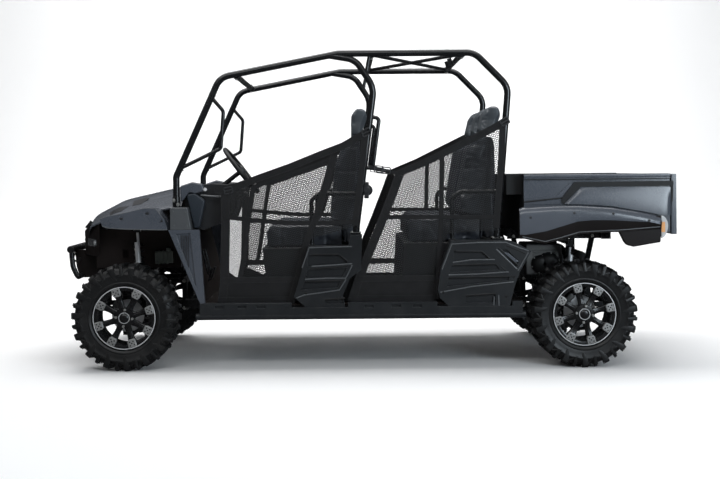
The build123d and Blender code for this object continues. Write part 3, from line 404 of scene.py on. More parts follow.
def seat(obj, body, replaces=(), slot=None):
    """Lets a piece ride on its body and stand for CAD nodes; the slot is not used."""
    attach(obj, body)
    for node in ([replaces] if isinstance(replaces, str) else replaces):
        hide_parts(node)
    return obj


def put_uv(mesh, uv):
    """Writes a vertex's (u, v) to every face corner that uses it."""
    layer = mesh.uv_layers.new(name="UVMap")
    corner = np.zeros(len(mesh.loops), np.int32)
    mesh.loops.foreach_get("vertex_index", corner)
    layer.data.foreach_set("uv", np.asarray(uv, np.float32)[corner].ravel())


def softened(name, node, finish, width=0.003, segments=2, angle=30, zones=(), slot=None):
    """A welded copy of a CAD node with rounded edges, standing for it."""
    source = frame["nodes"][node]
    mesh = source.data.copy()
    mesh.name = name
    obj = into_scene(name, mesh)
    mesh.materials.clear()
    mesh.materials.append(FINISH[finish])
    bm = bmesh.new()
    bm.from_mesh(mesh)
    bmesh.ops.remove_doubles(bm, verts=bm.verts, dist=1e-5)
    bmesh.ops.dissolve_limit(bm, angle_limit=radians(1.0), verts=bm.verts, edges=bm.edges)
    bm.to_mesh(mesh)
    bm.free()
    for layer in list(mesh.attributes):
        if layer.name == "custom_normal":
            mesh.attributes.remove(layer)
    paint_zones(mesh, zones)
    finish_mesh(obj, width, segments, angle)
    return seat(obj, body_name(node), (node,), slot or usual_slot(finish))


def body_name(node):
    return frame["nodes"][node]["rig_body"]


# ---------------- finishes ----------------

def node(tree, kind, inputs=None, **settings):
    """A shader node with its settings, and its inputs joined to sockets or set to values."""
    made = tree.nodes.new("ShaderNode" + kind)
    for key, value in settings.items():
        setattr(made, key, value)
    for key, value in (inputs or {}).items():
        if isinstance(value, bpy.types.NodeSocket):
            tree.links.new(value, made.inputs[key])
        else:
            made.inputs[key].default_value = value
    return made


def maths(tree, operation, a, b=0.0, clamp=False):
    return node(tree, "Math", {0: a, 1: b}, operation=operation, use_clamp=clamp).outputs[0]


def mix_colour(tree, factor, a, b, blend="MIX"):
    made = node(tree, "Mix", data_type="RGBA", blend_type=blend)
    for socket, value in ((made.inputs[0], factor), (made.inputs[6], a), (made.inputs[7], b)):
        if isinstance(value, bpy.types.NodeSocket):
            tree.links.new(value, socket)
        else:
            socket.default_value = value
    return made.outputs[2]


def ramp(tree, value, low_stop, high_stop):
    """0 below the low stop, 1 above the high stop and a smooth rise between."""
    return node(
        tree, "MapRange", {"Value": value, "From Min": low_stop, "From Max": high_stop},
        interpolation_type="SMOOTHSTEP", clamp=True,
    ).outputs["Result"]


def new_group(name, inputs, outputs):
    """An empty shader group with named sockets; each input has a kind and a default."""
    tree = bpy.data.node_groups.new(name, "ShaderNodeTree")
    for label, kind, default in inputs:
        socket = tree.interface.new_socket(name=label, in_out="INPUT", socket_type="NodeSocket" + kind)
        socket.default_value = default
    for label, kind in outputs:
        tree.interface.new_socket(name=label, in_out="OUTPUT", socket_type="NodeSocket" + kind)
    return tree, tree.nodes.new("NodeGroupInput").outputs, tree.nodes.new("NodeGroupOutput").inputs


def grain_group():
    """Height of a moulded or coated surface: fine grain with a slow waviness under it."""
    tree, given, out = new_group(
        "surface_grain", (("Fine", "Float", 900.0), ("Slow", "Float", 9.0), ("Waviness", "Float", 0.3)),
        (("Height", "Float"),),
    )
    place = node(tree, "TexCoord").outputs["Object"]
    fine = node(tree, "TexNoise", {"Vector": place, "Scale": given["Fine"], "Detail": 2.0}).outputs[0]
    slow = node(tree, "TexNoise", {"Vector": place, "Scale": given["Slow"], "Detail": 1.0}).outputs[0]
    tree.links.new(maths(tree, "ADD", fine, maths(tree, "MULTIPLY", slow, given["Waviness"])), out["Height"])
    return tree


def tone_group():
    """Colour that wanders between two tones in soft blotches and fine specks."""
    tree, given, out = new_group(
        "tone",
        (
            ("First", "Color", (1, 1, 1, 1)), ("Second", "Color", (0, 0, 0, 1)), ("Blotch", "Float", 3.0),
            ("Speck", "Float", 240.0),
        ), (("Color", "Color"), ("Mask", "Float")),
    )
    place = node(tree, "TexCoord").outputs["Object"]
    blotch = node(
        tree, "TexNoise", {"Vector": place, "Scale": given["Blotch"], "Detail": 5.0, "Roughness": 0.6},
    ).outputs[0]
    speck = node(tree, "TexNoise", {"Vector": place, "Scale": given["Speck"], "Detail": 1.0}).outputs[0]
    both = maths(tree, "ADD", maths(tree, "MULTIPLY", blotch, 0.75), maths(tree, "MULTIPLY", speck, 0.25))
    mask = ramp(tree, both, 0.30, 0.72)
    tree.links.new(mix_colour(tree, mask, given["First"], given["Second"]), out["Color"])
    tree.links.new(mask, out["Mask"])
    return tree


def rubbed_and_highlit_edge_group():
    """Mask of edges that are partly rubbed wear and partly a painted highlight: where a normal rounded over a
    few millimetres leaves the face's own.
    """
    tree, given, out = new_group(
        "rubbed_and_highlit_edges", (("Width", "Float", 0.003), ("Breakup", "Float", 45.0)), (("Mask", "Float"),),
    )
    place = node(tree, "TexCoord").outputs["Object"]
    flat = node(tree, "NewGeometry").outputs["Normal"]
    rounded = node(tree, "Bevel", {"Radius": given["Width"]}, samples=4).outputs[0]
    agree = node(tree, "VectorMath", {0: flat, 1: rounded}, operation="DOT_PRODUCT").outputs["Value"]
    edge = maths(tree, "SUBTRACT", 1.0, ramp(tree, agree, 0.80, 0.985))
    noise = node(tree, "TexNoise", {"Vector": place, "Scale": given["Breakup"], "Detail": 3.0}).outputs[0]
    tree.links.new(maths(tree, "MULTIPLY", edge, ramp(tree, noise, 0.38, 0.62)), out["Mask"])
    return tree


def dust_group():
    """Mask of settled dust: more on faces that look up and more near the ground."""
    tree, given, out = new_group(
        "dust", (("Top", "Float", 0.9), ("Scale", "Float", 14.0)), (("Mask", "Float"),),
    )
    place = node(tree, "TexCoord").outputs["Object"]
    z = node(tree, "SeparateXYZ", {0: place}).outputs[2]
    up = node(tree, "SeparateXYZ", {0: node(tree, "NewGeometry").outputs["Normal"]}).outputs[2]
    lowness = maths(tree, "SUBTRACT", 1.0, ramp(tree, z, 0.0, given["Top"]))
    noise = node(tree, "TexNoise", {"Vector": place, "Scale": given["Scale"], "Detail": 6.0}).outputs[0]
    facing = maths(tree, "ADD", maths(tree, "MULTIPLY", ramp(tree, up, -0.2, 0.9), 0.5), lowness)
    tree.links.new(maths(tree, "MULTIPLY", facing, ramp(tree, noise, 0.35, 0.75), clamp=True), out["Mask"])
    return tree


def leather_group():
    """Height of a pebbled vinyl: cell edges sunk between soft pebbles."""
    tree, given, out = new_group(
        "pebble", (("Cells", "Float", 420.0), ("Creases", "Float", 26.0)), (("Height", "Float"),),
    )
    place = node(tree, "TexCoord").outputs["Object"]
    cells = node(
        tree, "TexVoronoi", {"Vector": place, "Scale": given["Cells"]}, feature="SMOOTH_F1",
    ).outputs[0]
    crease = node(tree, "TexNoise", {"Vector": place, "Scale": given["Creases"], "Detail": 4.0}).outputs[0]
    tree.links.new(maths(tree, "SUBTRACT", maths(tree, "MULTIPLY", crease, 0.6), cells), out["Height"])
    return tree


def thread_group():
    """Woven webbing on UV in metres: ribs across, fine threads along, and their shade."""
    tree, given, out = new_group(
        "webbing", (("Rib", "Float", 0.0024), ("Thread", "Float", 0.0011)),
        (("Height", "Float"), ("Shade", "Float")),
    )
    uv = node(tree, "SeparateXYZ", {0: node(tree, "TexCoord").outputs["UV"]})
    u, v = uv.outputs[0], uv.outputs[1]
    rib = maths(tree, "SINE", maths(tree, "DIVIDE", maths(tree, "MULTIPLY", u, 2 * pi), given["Rib"]))
    row_shift = maths(tree, "MULTIPLY", rib, 1.4)
    along = maths(tree, "DIVIDE", maths(tree, "MULTIPLY", v, 2 * pi), given["Thread"])
    thread = maths(tree, "SINE", maths(tree, "ADD", along, row_shift))
    both = maths(tree, "ADD", maths(tree, "MULTIPLY", rib, 0.5), maths(tree, "MULTIPLY", thread, 0.3))
    tree.links.new(both, out["Height"])
    tree.links.new(ramp(tree, both, -0.8, 0.8), out["Shade"])
    return tree


def mesh_group():
    """Knitted mesh on UV in metres: rows of round holes, every other row shifted by half a hole."""
    tree, given, out = new_group(
        "knit", (("Pitch", "Float", 0.009), ("Hole", "Float", 0.3), ("Stray", "Float", 30.0)),
        (("Cloth", "Float"), ("Height", "Float")),
    )
    turned = node(tree, "VectorRotate", {"Vector": node(tree, "TexCoord").outputs["UV"], "Angle": 0.26})
    uv = node(tree, "SeparateXYZ", {0: turned.outputs["Vector"]})
    stray = node(tree, "SeparateXYZ", {0: node(tree, "TexNoise", {
        "Vector": node(tree, "TexCoord").outputs["Object"], "Scale": given["Stray"], "Detail": 1.0,
    }).outputs["Color"]})
    u = maths(
        tree, "ADD", maths(tree, "DIVIDE", uv.outputs[0], given["Pitch"]),
        maths(tree, "MULTIPLY", stray.outputs[0], 0.3),
    )
    v = maths(
        tree, "ADD", maths(tree, "DIVIDE", uv.outputs[1], given["Pitch"]),
        maths(tree, "MULTIPLY", stray.outputs[1], 0.3),
    )
    shift = maths(tree, "MULTIPLY", maths(tree, "MODULO", maths(tree, "FLOOR", v), 2.0), 0.5)
    du = maths(tree, "SUBTRACT", maths(tree, "FRACT", maths(tree, "ADD", u, shift)), 0.5)
    dv = maths(tree, "SUBTRACT", maths(tree, "FRACT", v), 0.5)
    reach = maths(
        tree, "SQRT", maths(tree, "ADD", maths(tree, "MULTIPLY", du, du), maths(tree, "MULTIPLY", dv, dv)),
    )
    tree.links.new(maths(tree, "GREATER_THAN", reach, given["Hole"]), out["Cloth"])
    tree.links.new(reach, out["Height"])
    return tree


GROUPS = {}
FINISH = {}
# the material slot of a finish, where it isn't trim_black
SLOTS = {
    "frame_black": "frame_black", "body_plastic": "body_grey", "tyre_rubber": "tyre_rubber",
    "cast_metal": "cast_metal", "green_cast": "cast_metal", "lamp_amber": "lamp_amber",
    "lamp_clear": "lamp_clear", "net_mesh": "net_fabric", "webbing_black": "net_fabric",
    "seat_panel": "seat_vinyl", "zinc": "bare_steel", "dark_steel": "bare_steel",
    "bright_metal": "bare_steel",
}


def usual_slot(finish):
    return SLOTS.get(finish, "trim_black")



def use(tree, name, **values):
    """A group placed in a material with its own values."""
    made = tree.nodes.new("ShaderNodeGroup")
    made.node_tree = GROUPS[name]
    for key, value in values.items():
        socket = made.inputs[key]
        if isinstance(value, bpy.types.NodeSocket):
            tree.links.new(value, socket)
        else:
            socket.default_value = value
    return made.outputs


def rgb(*c):
    return (*c, 1.0)


def new_material(name):
    material = bpy.data.materials.new(name)
    material.use_nodes = True
    tree = material.node_tree
    tree.nodes.clear()
    shader = tree.nodes.new("ShaderNodeBsdfPrincipled")
    output = tree.nodes.new("ShaderNodeOutputMaterial")
    tree.links.new(shader.outputs[0], output.inputs[0])
    return material, tree, shader


def rough_by(tree, shader, mask, low, high):
    """Roughness that goes from low to high with a mask."""
    spread = node(tree, "MapRange", {"Value": mask, "To Min": low, "To Max": high})
    tree.links.new(spread.outputs["Result"], shader.inputs["Roughness"])


def bumped(tree, shader, height, strength, distance):
    """Normals bent by a height."""
    normal = node(tree, "Bump", {"Strength": strength, "Distance": distance, "Height": height})
    tree.links.new(normal.outputs[0], shader.inputs["Normal"])


def hard_finish(name, first, second, roughness, metallic, coat, fine, bump, edge_wear_and_highlight, dust, gloss=0.5):
    """A moulded, painted or metal finish: two tones, grain, lighter edges that are partly rubbed wear and
    partly a painted highlight, and a little dust.
    """
    material, tree, shader = new_material(name)
    tone = use(tree, "tone", First=rgb(*first), Second=rgb(*second))
    colour = tone["Color"]
    rough = node(tree, "MapRange", {
        "Value": tone["Mask"], "To Min": roughness - 0.04, "To Max": roughness + 0.05,
    }).outputs["Result"]
    # edges turned towards a paler tone: partly rubbed wear, partly a painted highlight for light caught on
    # the edges
    if edge_wear_and_highlight:
        mask = maths(tree, "MULTIPLY", use(tree, "rubbed_and_highlit_edges")["Mask"], edge_wear_and_highlight)
        colour = mix_colour(tree, mask, colour, rgb(*[0.03 + 2.5 * c for c in second]))
    if dust:
        mask = maths(tree, "MULTIPLY", use(tree, "dust")["Mask"], dust)
        colour = mix_colour(tree, mask, colour, rgb(0.16, 0.15, 0.135))
        rough = maths(tree, "ADD", rough, maths(tree, "MULTIPLY", mask, 0.4), clamp=True)
    tree.links.new(colour, shader.inputs["Base Color"])
    tree.links.new(rough, shader.inputs["Roughness"])
    shader.inputs["Metallic"].default_value = metallic
    shader.inputs["Specular IOR Level"].default_value = gloss
    shader.inputs["Coat Weight"].default_value = coat
    shader.inputs["Coat Roughness"].default_value = 0.14
    bumped(tree, shader, use(tree, "surface_grain", Fine=fine)["Height"], bump, 0.0004)
    FINISH[name] = material


# name: first tone, second tone, roughness, metallic, coat, fine grain, bump, edge wear with painted edge
# highlight, dust, gloss
HARD = {
    "body_plastic": (
        (0.024, 0.029, 0.037), (0.029, 0.034, 0.043), 0.27, 0.0, 0.35, 700.0, 0.05, 0.75, 0.02, 0.5,
    ),
    "bracket_paint": (
        (0.070, 0.076, 0.082), (0.090, 0.095, 0.100), 0.36, 0.2, 0.2, 600.0, 0.08, 0.4, 0.03, 0.5,
    ),
    "trim_black": (
        (0.0060, 0.0064, 0.0075), (0.0085, 0.0090, 0.0105), 0.35, 0.0, 0.0, 520.0, 0.14, 0.9, 0.04, 0.40,
    ),
    "brown_black": (
        (0.0062, 0.0042, 0.0040), (0.0090, 0.0064, 0.0060), 0.50, 0.0, 0.0, 520.0, 0.14, 0.4, 0.04, 0.20,
    ),
    "frame_black": (
        (0.0045, 0.0047, 0.0053), (0.0062, 0.0065, 0.0072), 0.26, 0.0, 0.30, 420.0, 0.08, 0.0, 0.02, 0.40,
    ),
    "rim_black": (
        (0.0050, 0.0050, 0.0055), (0.0075, 0.0075, 0.0080), 0.26, 0.0, 0.3, 500.0, 0.05, 0.0, 0.02, 0.40,
    ),
    "bright_metal": ((0.66, 0.67, 0.68), (0.78, 0.78, 0.79), 0.36, 0.45, 0.0, 1400.0, 0.05, 0.0, 0.02),
    "zinc": ((0.34, 0.34, 0.33), (0.44, 0.44, 0.42), 0.36, 0.6, 0.0, 900.0, 0.08, 0.0, 0.05),
    "pad_metal": ((0.26, 0.26, 0.26), (0.42, 0.42, 0.41), 0.38, 0.6, 0.0, 300.0, 0.10, 0.0, 0.05),
    "floor_mat": (
        (0.0150, 0.0120, 0.0115), (0.0240, 0.0190, 0.0180), 0.85, 0.0, 0.0, 330.0, 0.5, 0.0, 0.04, 0.10,
    ),
    "box_plastic": (
        (0.0105, 0.0118, 0.0135), (0.0150, 0.0168, 0.0190), 0.36, 0.0, 0.1, 520.0, 0.10, 0.9, 0.04, 0.4,
    ),
    "post_plastic": (
        (0.020, 0.026, 0.034), (0.026, 0.033, 0.042), 0.34, 0.0, 0.1, 600.0, 0.06, 0.5, 0.03, 0.4,
    ),
    "smoked_lens": ((0.030, 0.031, 0.034), (0.040, 0.041, 0.044), 0.12, 0.0, 0.5, 900.0, 0.01, 0.0, 0.02),
    "green_cast": ((0.120, 0.140, 0.124), (0.160, 0.180, 0.160), 0.46, 0.3, 0.0, 400.0, 0.2, 0.2, 0.08),
    "cast_metal": ((0.14, 0.14, 0.14), (0.22, 0.22, 0.21), 0.50, 0.8, 0.0, 260.0, 0.35, 0.3, 0.12),
    "dark_steel": ((0.022, 0.022, 0.023), (0.034, 0.033, 0.032), 0.42, 0.6, 0.0, 600.0, 0.14, 0.0, 0.08, 0.4),
    "boot_rubber": (
        (0.0050, 0.0050, 0.0055), (0.0085, 0.0085, 0.0090), 0.50, 0.0, 0.0, 700.0, 0.10, 0.0, 0.06, 0.34,
    ),
    "tyre_rubber": (
        (0.0065, 0.0066, 0.0070), (0.0105, 0.0106, 0.0112), 0.42, 0.0, 0.0, 340.0, 0.18, 0.45, 0.04, 0.36,
    ),
    "spring_paint": ((0.010, 0.011, 0.013), (0.016, 0.017, 0.020), 0.28, 0.0, 0.4, 600.0, 0.06, 0.0, 0.03),
    "stitch": ((0.030, 0.030, 0.031), (0.050, 0.050, 0.050), 0.75, 0.0, 0.0, 1600.0, 0.40, 0.0, 0.0, 0.3),
    "screen_glass": ((0.006, 0.007, 0.009), (0.009, 0.010, 0.012), 0.10, 0.0, 0.6, 900.0, 0.01, 0.0, 0.02),
    "bed_liner": (
        (0.0070, 0.0074, 0.0082), (0.0110, 0.0115, 0.0125), 0.60, 0.0, 0.0, 230.0, 0.45, 0.0, 0.05, 0.3,
    ),
}


def soft_finishes():
    """Seat vinyl, headrest vinyl, webbing and knitted mesh."""
    looks = bpy.context.scene.vehicle_looks
    seat_tone, rest_tone, net_tone = (
        tuple(c) for c in (looks.seat_colour, looks.headrest_colour, looks.net_colour)
    )
    for name, first, second, rough in (
        ("seat_vinyl", seat_tone, [c * 1.3 for c in seat_tone], 0.42),
        ("seat_panel", (0.030, 0.035, 0.044), (0.040, 0.046, 0.057), 0.46),
        ("headrest_vinyl", rest_tone, [c * 1.25 for c in rest_tone], 0.44),
    ):
        material, tree, shader = new_material(name)
        tone = use(tree, "tone", First=rgb(*first), Second=rgb(*second), Blotch=5.0)
        tree.links.new(tone["Color"], shader.inputs["Base Color"])
        rough_by(tree, shader, tone["Mask"], rough - 0.06, rough + 0.08)
        bumped(tree, shader, use(tree, "pebble")["Height"], 0.35, 0.0006)
        FINISH[name] = material

    for name, dark, light in (
        ("webbing_black", (0.0085, 0.0084, 0.0090), (0.0200, 0.0198, 0.0210)),
        ("webbing_grey", (0.05, 0.05, 0.052), (0.09, 0.09, 0.092)),
    ):
        material, tree, shader = new_material(name)
        weave = use(tree, "webbing")
        tone = use(tree, "tone", First=rgb(1, 1, 1), Second=rgb(0.75, 0.75, 0.75), Blotch=16.0)
        shade = mix_colour(tree, weave["Shade"], rgb(*dark), rgb(*light))
        tree.links.new(mix_colour(tree, 1.0, shade, tone["Color"], "MULTIPLY"), shader.inputs["Base Color"])
        rough_by(tree, shader, weave["Shade"], 0.85, 0.66)
        bumped(tree, shader, weave["Height"], 0.6, 0.0005)
        shader.inputs["Specular IOR Level"].default_value = 0.22
        FINISH[name] = material

    material, tree, shader = new_material("net_mesh")
    # ahead of the second strap the cloth is a closer mesh
    uv = node(tree, "SeparateXYZ", {0: node(tree, "TexCoord").outputs["UV"]})
    lean = maths(tree, "MULTIPLY", maths(tree, "ABSOLUTE", uv.outputs[1]), 0.1565)
    behind = maths(tree, "GREATER_THAN", maths(tree, "SUBTRACT", uv.outputs[0], lean), front(619.5))
    pitch = node(tree, "MapRange", {"Value": behind, "To Min": 0.0045, "To Max": looks.net_pitch})
    hole = node(tree, "MapRange", {"Value": behind, "To Min": 0.32, "To Max": looks.net_hole})
    knit = use(tree, "knit", Pitch=pitch.outputs["Result"], Hole=hole.outputs["Result"])
    tone = use(tree, "tone", First=rgb(*net_tone), Second=rgb(*[c * 1.35 for c in net_tone]), Blotch=8.0)
    tree.links.new(tone["Color"], shader.inputs["Base Color"])
    rough_by(tree, shader, tone["Mask"], 0.7, 0.85)
    tree.links.new(knit["Cloth"], shader.inputs["Alpha"])
    bumped(tree, shader, knit["Height"], 0.5, 0.0008)
    FINISH["net_mesh"] = material


def lens_finishes():
    """Clear and amber lamp lenses: coloured plastic that lets light in, with a gloss coat."""
    amber = tuple(bpy.context.scene.vehicle_looks.amber_colour)
    for name, first, second, transmission in (
        ("lamp_clear", (0.80, 0.81, 0.82), (0.90, 0.91, 0.92), 0.55),
        ("lamp_amber", amber, [min(1.0, c * 1.1) for c in amber], 0.25),
    ):
        material, tree, shader = new_material(name)
        tone = use(tree, "tone", First=rgb(*first), Second=rgb(*second), Blotch=20.0)
        tree.links.new(tone["Color"], shader.inputs["Base Color"])
        rough_by(tree, shader, tone["Mask"], 0.10, 0.16)
        shader.inputs["Transmission Weight"].default_value = transmission
        shader.inputs["Coat Weight"].default_value = 0.5
        shader.inputs["Coat Roughness"].default_value = 0.05
        height = use(tree, "surface_grain", Fine=160.0, Slow=30.0, Waviness=0.1)["Height"]
        bumped(tree, shader, height, 0.08, 0.0006)
        FINISH[name] = material


def make_finishes():
    for name, made in (
        ("surface_grain", grain_group), ("tone", tone_group), ("rubbed_and_highlit_edges", rubbed_and_highlit_edge_group), ("dust", dust_group),
        ("pebble", leather_group), ("webbing", thread_group), ("knit", mesh_group),
    ):
        GROUPS[name] = made()
    looks = bpy.context.scene.vehicle_looks
    chosen = {
        "body_plastic": looks.body_colour, "frame_black": looks.frame_colour, "trim_black": looks.trim_colour,
    }
    for name, (first, second, *rest) in HARD.items():
        if name in chosen:
            second = [c * b / a for a, b, c in zip(first, second, chosen[name])]
            first = tuple(chosen[name])
        hard_finish(name, first, second, *rest)
    soft_finishes()
    lens_finishes()


# ---------------- wheels ----------------

CORNERS = (("front", "left"), ("front", "right"), ("rear", "left"), ("rear", "right"))
LUGS = 30
SPOKES = 8
SPIN = {"front": radians(-17), "rear": radians(-14)}    # how far each wheel has rolled on


def turned(part, count, first=0.0):
    """A part and its copies, evenly spaced round the Y axis."""
    return merged([moved(part, turn=turn_y(first + 2 * pi * i / count)) for i in range(count)])


def tyre_parts(half, r):
    """Carcass and lugs on the Y axis.

    Carcass: a profile of (radius, y) points turned about the axis. Lugs: a rounded section carried
    along the tread from the middle over the shoulder, skewed forward as it goes outwards, then
    repeated round the axis, every other one on the other shoulder. Between them stand lower blocks.
    The sidewall's rib swings in and out between two radii, once for each lug of its shoulder."""
    tread = r - 0.018
    side = [
        (0.1985, half - 0.026), (0.204, half - 0.014), (0.213, half - 0.010), (0.216, half - 0.007),
        (0.221, half - 0.007), (0.224, half - 0.009), (0.242, half - 0.005), (0.262, half - 0.004),
        (0.266, half - 0.0015), (0.272, half - 0.0015), (0.276, half - 0.006), (0.288, half - 0.012),
        (tread - 0.006, half - 0.026), (tread, half - 0.045),
    ]
    profile = side + [(a, -b) for a, b in side[::-1]] + [(0.1785, -(half - 0.034)), (0.1785, half - 0.034)]
    carcass = lathe(profile, 120)
    path = np.array(
        [
            (0.004, tread - 0.004), (0.006, r - 0.011), (half * 0.30, r - 0.0105), (half * 0.62, r - 0.0105),
            (half - 0.026, r - 0.012), (half - 0.012, r - 0.022), (half - 0.0105, r - 0.048),
            (half - 0.0095, r - 0.074), (half - 0.0080, r - 0.094),
        ]
    )
    skew = np.array([-0.012, -0.012, -0.003, 0.006, 0.010, 0.010, 0.011, 0.016, 0.022])
    width = np.array([0.028, 0.031, 0.033, 0.036, 0.041, 0.040, 0.034, 0.026, 0.012])
    deep = np.array([0.012, 0.020, 0.021, 0.021, 0.022, 0.021, 0.020, 0.015, 0.009])
    along = np.gradient(path, axis=0)
    along /= np.linalg.norm(along, axis=1)[:, None]
    outward = np.stack([-along[:, 1], along[:, 0]], axis=1)
    flat = rounded_box(1, 1, 0.16, 3)
    rings = np.stack([
        skew[:, None] + flat[None, :, 0] * width[:, None],
        path[:, None, 0] + flat[None, :, 1] * (deep * outward[:, 0])[:, None],
        path[:, None, 1] + flat[None, :, 1] * (deep * outward[:, 1])[:, None],
    ], axis=-1)
    lug = capped(rings)
    small = merged(
        [
            carried(
                [(0, half * 0.16, r - 0.026), (0, half * 0.16, r - 0.002)],
                rounded_box(0.034, 0.022, 0.004, 3),
            ),
            carried(
                [(0.004, half * 0.58, tread - 0.008), (0.004, half * 0.62, r - 0.0035)],
                rounded_box(0.028, 0.038, 0.004, 3), scale=(1.0, 0.86),
            ),
            carried(
                [
                    (0.010, half - 0.046, r - 0.011), (0.010, half - 0.019, r - 0.021),
                    (0.010, half - 0.014, r - 0.046), (0.012, half - 0.012, r - 0.066),
                ], rounded_box(0.030, 0.020, 0.003, 3), up=(1, 0, 0),
            ),
        ]
    )
    over = np.diag([1.0, -1.0, 1.0])
    step = 2 * pi / LUGS
    a = np.linspace(0, 2 * pi, LUGS // 2 * 8, endpoint=False)
    swing = np.abs(((a * LUGS / 4 / pi) % 1) * 2 - 1)
    reach = 0.263 + 0.036 * np.clip(swing * 1.5 - 0.2, 0, 1)
    rib = carried(
        np.stack(
            [
                reach * np.sin(a), half - 0.006 - 0.011 * np.clip((reach - 0.27) / 0.03, 0, 1),
                reach * np.cos(a),
            ], axis=-1,
        ), rounded_box(0.009, 0.009, 0.003, 3), closed=True, up=(0, 1, 0),
    )
    blocks = merged([
        turned(moved(lug, turn=over), LUGS // 2), turned(lug, LUGS // 2, step),
        turned(moved(small, turn=over), LUGS // 2, step), turned(small, LUGS // 2),
        moved(rib, turn=over), moved(rib, turn=turn_y(step)),
    ])
    return carcass, blocks


def make_tyre(axle, side):
    name = f"tyre_{axle}_{side}"
    lo, hi = low(name), high(name)
    centre = (lo + hi) / 2
    carcass, blocks = tyre_parts((hi[1] - lo[1]) / 2, (hi[2] - lo[2]) / 2)
    part = moved(merged([carcass, blocks]), turn=turn_y(SPIN[axle]))
    if side == "right":
        part = mirrored(part)
    return piece(
        f"tyre_{axle}_{side}_rubber", moved(part, centre), "tyre_rubber", f"wheel_{axle}_{side}",
        replaces=name, angle=38,
    )


def rim_parts(half):
    """Barrel with rolled lips, eight waisted spokes, bright corner pads, cap and lug nuts.

    The barrel and the ring are profiles of (radius, y) points turned about the axis. A spoke is a
    rounded section carried from the hub to the barrel, narrow in its middle."""
    face = -(half - 0.025)
    lip = face - 0.009
    barrel = lathe([
        (0.1945, lip + 0.001), (0.1955, lip + 0.004), (0.1945, face + 0.002), (0.178, face + 0.006),
        (0.176, face + 0.012), (0.176, -face - 0.012), (0.178, -face - 0.006), (0.1945, -face - 0.002),
        (0.1950, -face + 0.006), (0.190, -face + 0.009), (0.172, -face - 0.004), (0.168, -face - 0.016),
        (0.166, face + 0.050), (0.168, face + 0.014), (0.170, lip + 0.003), (0.176, lip + 0.001),
    ], 128)
    ring = lathe([
        (0.1944, lip + 0.0006), (0.1932, lip - 0.0014), (0.1896, lip - 0.0014), (0.1886, lip + 0.0008),
        (0.1900, lip + 0.003), (0.1932, lip + 0.003),
    ], 128)
    t = np.linspace(0, 1, 9)
    reach = 0.048 + t * 0.124
    waist = 0.046 - 0.012 * np.sin(pi * np.clip(t * 1.1, 0, 1)) + 0.016 * t ** 3
    dish = face + 0.004 + 0.011 * np.sin(pi * t) - 0.008 * t
    section = rounded_box(1, 1, 0.22, 4)
    rings = np.stack([
        section[None, :, 0] * waist[:, None], dish[:, None] + 0.016 + section[None, :, 1] * 0.032,
        np.broadcast_to(reach[:, None], (len(t), len(section))),
    ], axis=-1)
    spoke = capped(rings)
    ridge = carried(
        [(0, dish[k] - 0.001, reach[k]) for k in range(1, 7)], rounded_box(0.010, 0.008, 0.003, 3),
        up=(0, 1, 0),
    )
    spokes = turned(merged([spoke, ridge]), SPOKES)
    hub = disc_lathe(
        [
            (0, face - 0.002), (0.036, face - 0.002), (0.058, face + 0.001), (0.062, face + 0.006),
            (0.062, face + 0.050), (0, face + 0.050),
        ], 64,
    )
    pads = []
    outline = [
        (-0.019, 0.137), (-0.026, 0.149), (-0.028, 0.1865), (0.028, 0.1865), (0.026, 0.149), (0.019, 0.137),
    ]
    middle_z = 0.162
    near = np.array([(x * 0.88, lip - 0.003, middle_z + (z - middle_z) * 0.88) for x, z in outline])
    edge = np.array([(x, lip + 0.001, z) for x, z in outline])
    back = np.array([(x, face + 0.012, z) for x, z in outline])
    pads = turned(capped(np.stack([back, edge, near])), SPOKES)
    dots = turned(merged([
        moved(rod((0, 0, 0), (0, -0.0012, 0), 0.0042, 12), (x, lip - 0.0028, z))
        for x, z in ((-0.011, 0.152), (0.011, 0.152), (-0.013, 0.174), (0.013, 0.174), (0, 0.163))
    ]), SPOKES)
    cap = disc_lathe(
        [
            (0, lip - 0.010), (0.014, lip - 0.0098), (0.024, lip - 0.007), (0.029, lip - 0.002),
            (0.031, face + 0.002), (0, face + 0.002),
        ], 48,
    )
    cap_ring = lathe(
        [(0.0350, lip + 0.002), (0.0340, lip - 0.001), (0.0315, lip - 0.001), (0.0305, lip + 0.002)], 48,
    )
    nuts = turned(
        moved(
            merged(
                [
                    carried([(0, 0, 0), (0, 0, 0.014)], circle(0.0080, 6)),
                    carried([(0, 0, 0.013), (0, 0, 0.017)], circle(0.0055, 14)),
                ]
            ), (0, face - 0.001, 0.0510), frame_to((0, -1, 0)),
        ), 4, pi / 8,
    )
    return barrel, ring, spokes, hub, pads, dots, cap, cap_ring, nuts


def make_rim(axle, side):
    name = f"rim_{axle}_{side}"
    tyre = f"tyre_{axle}_{side}"
    half = (high(tyre)[1] - low(tyre)[1]) / 2
    centre = middle(tyre)
    barrel, ring, spokes, hub, pads, dots, cap, cap_ring, nuts = rim_parts(half)
    body = f"wheel_{axle}_{side}"
    made = []
    for label, parts, finish, replaces, slot, bevel in (
        ("casting", [barrel, spokes, hub, cap, dots], "rim_black", name, "rim_black", 0),
        ("bright", [ring, cap_ring], "bright_metal", (), "bare_steel", 0),
        ("pads", [pads], "pad_metal", (), "bare_steel", 0.002),
        ("nuts", [nuts], "zinc", (), "bare_steel", 0),
    ):
        part = moved(merged(parts), turn=turn_y(SPIN[axle]))
        if side == "right":
            part = mirrored(part)
        made.append(piece(
            f"rim_{axle}_{side}_{label}", moved(part, centre), finish, body, replaces=replaces, slot=slot,
            bevel=bevel, angle=34,
        ))
    return made


# ---------------- running gear ----------------

KINGPIN_Y, REAR_HUB_Y, SHOCK_LOW_Y = 0.610, 0.575, 0.440


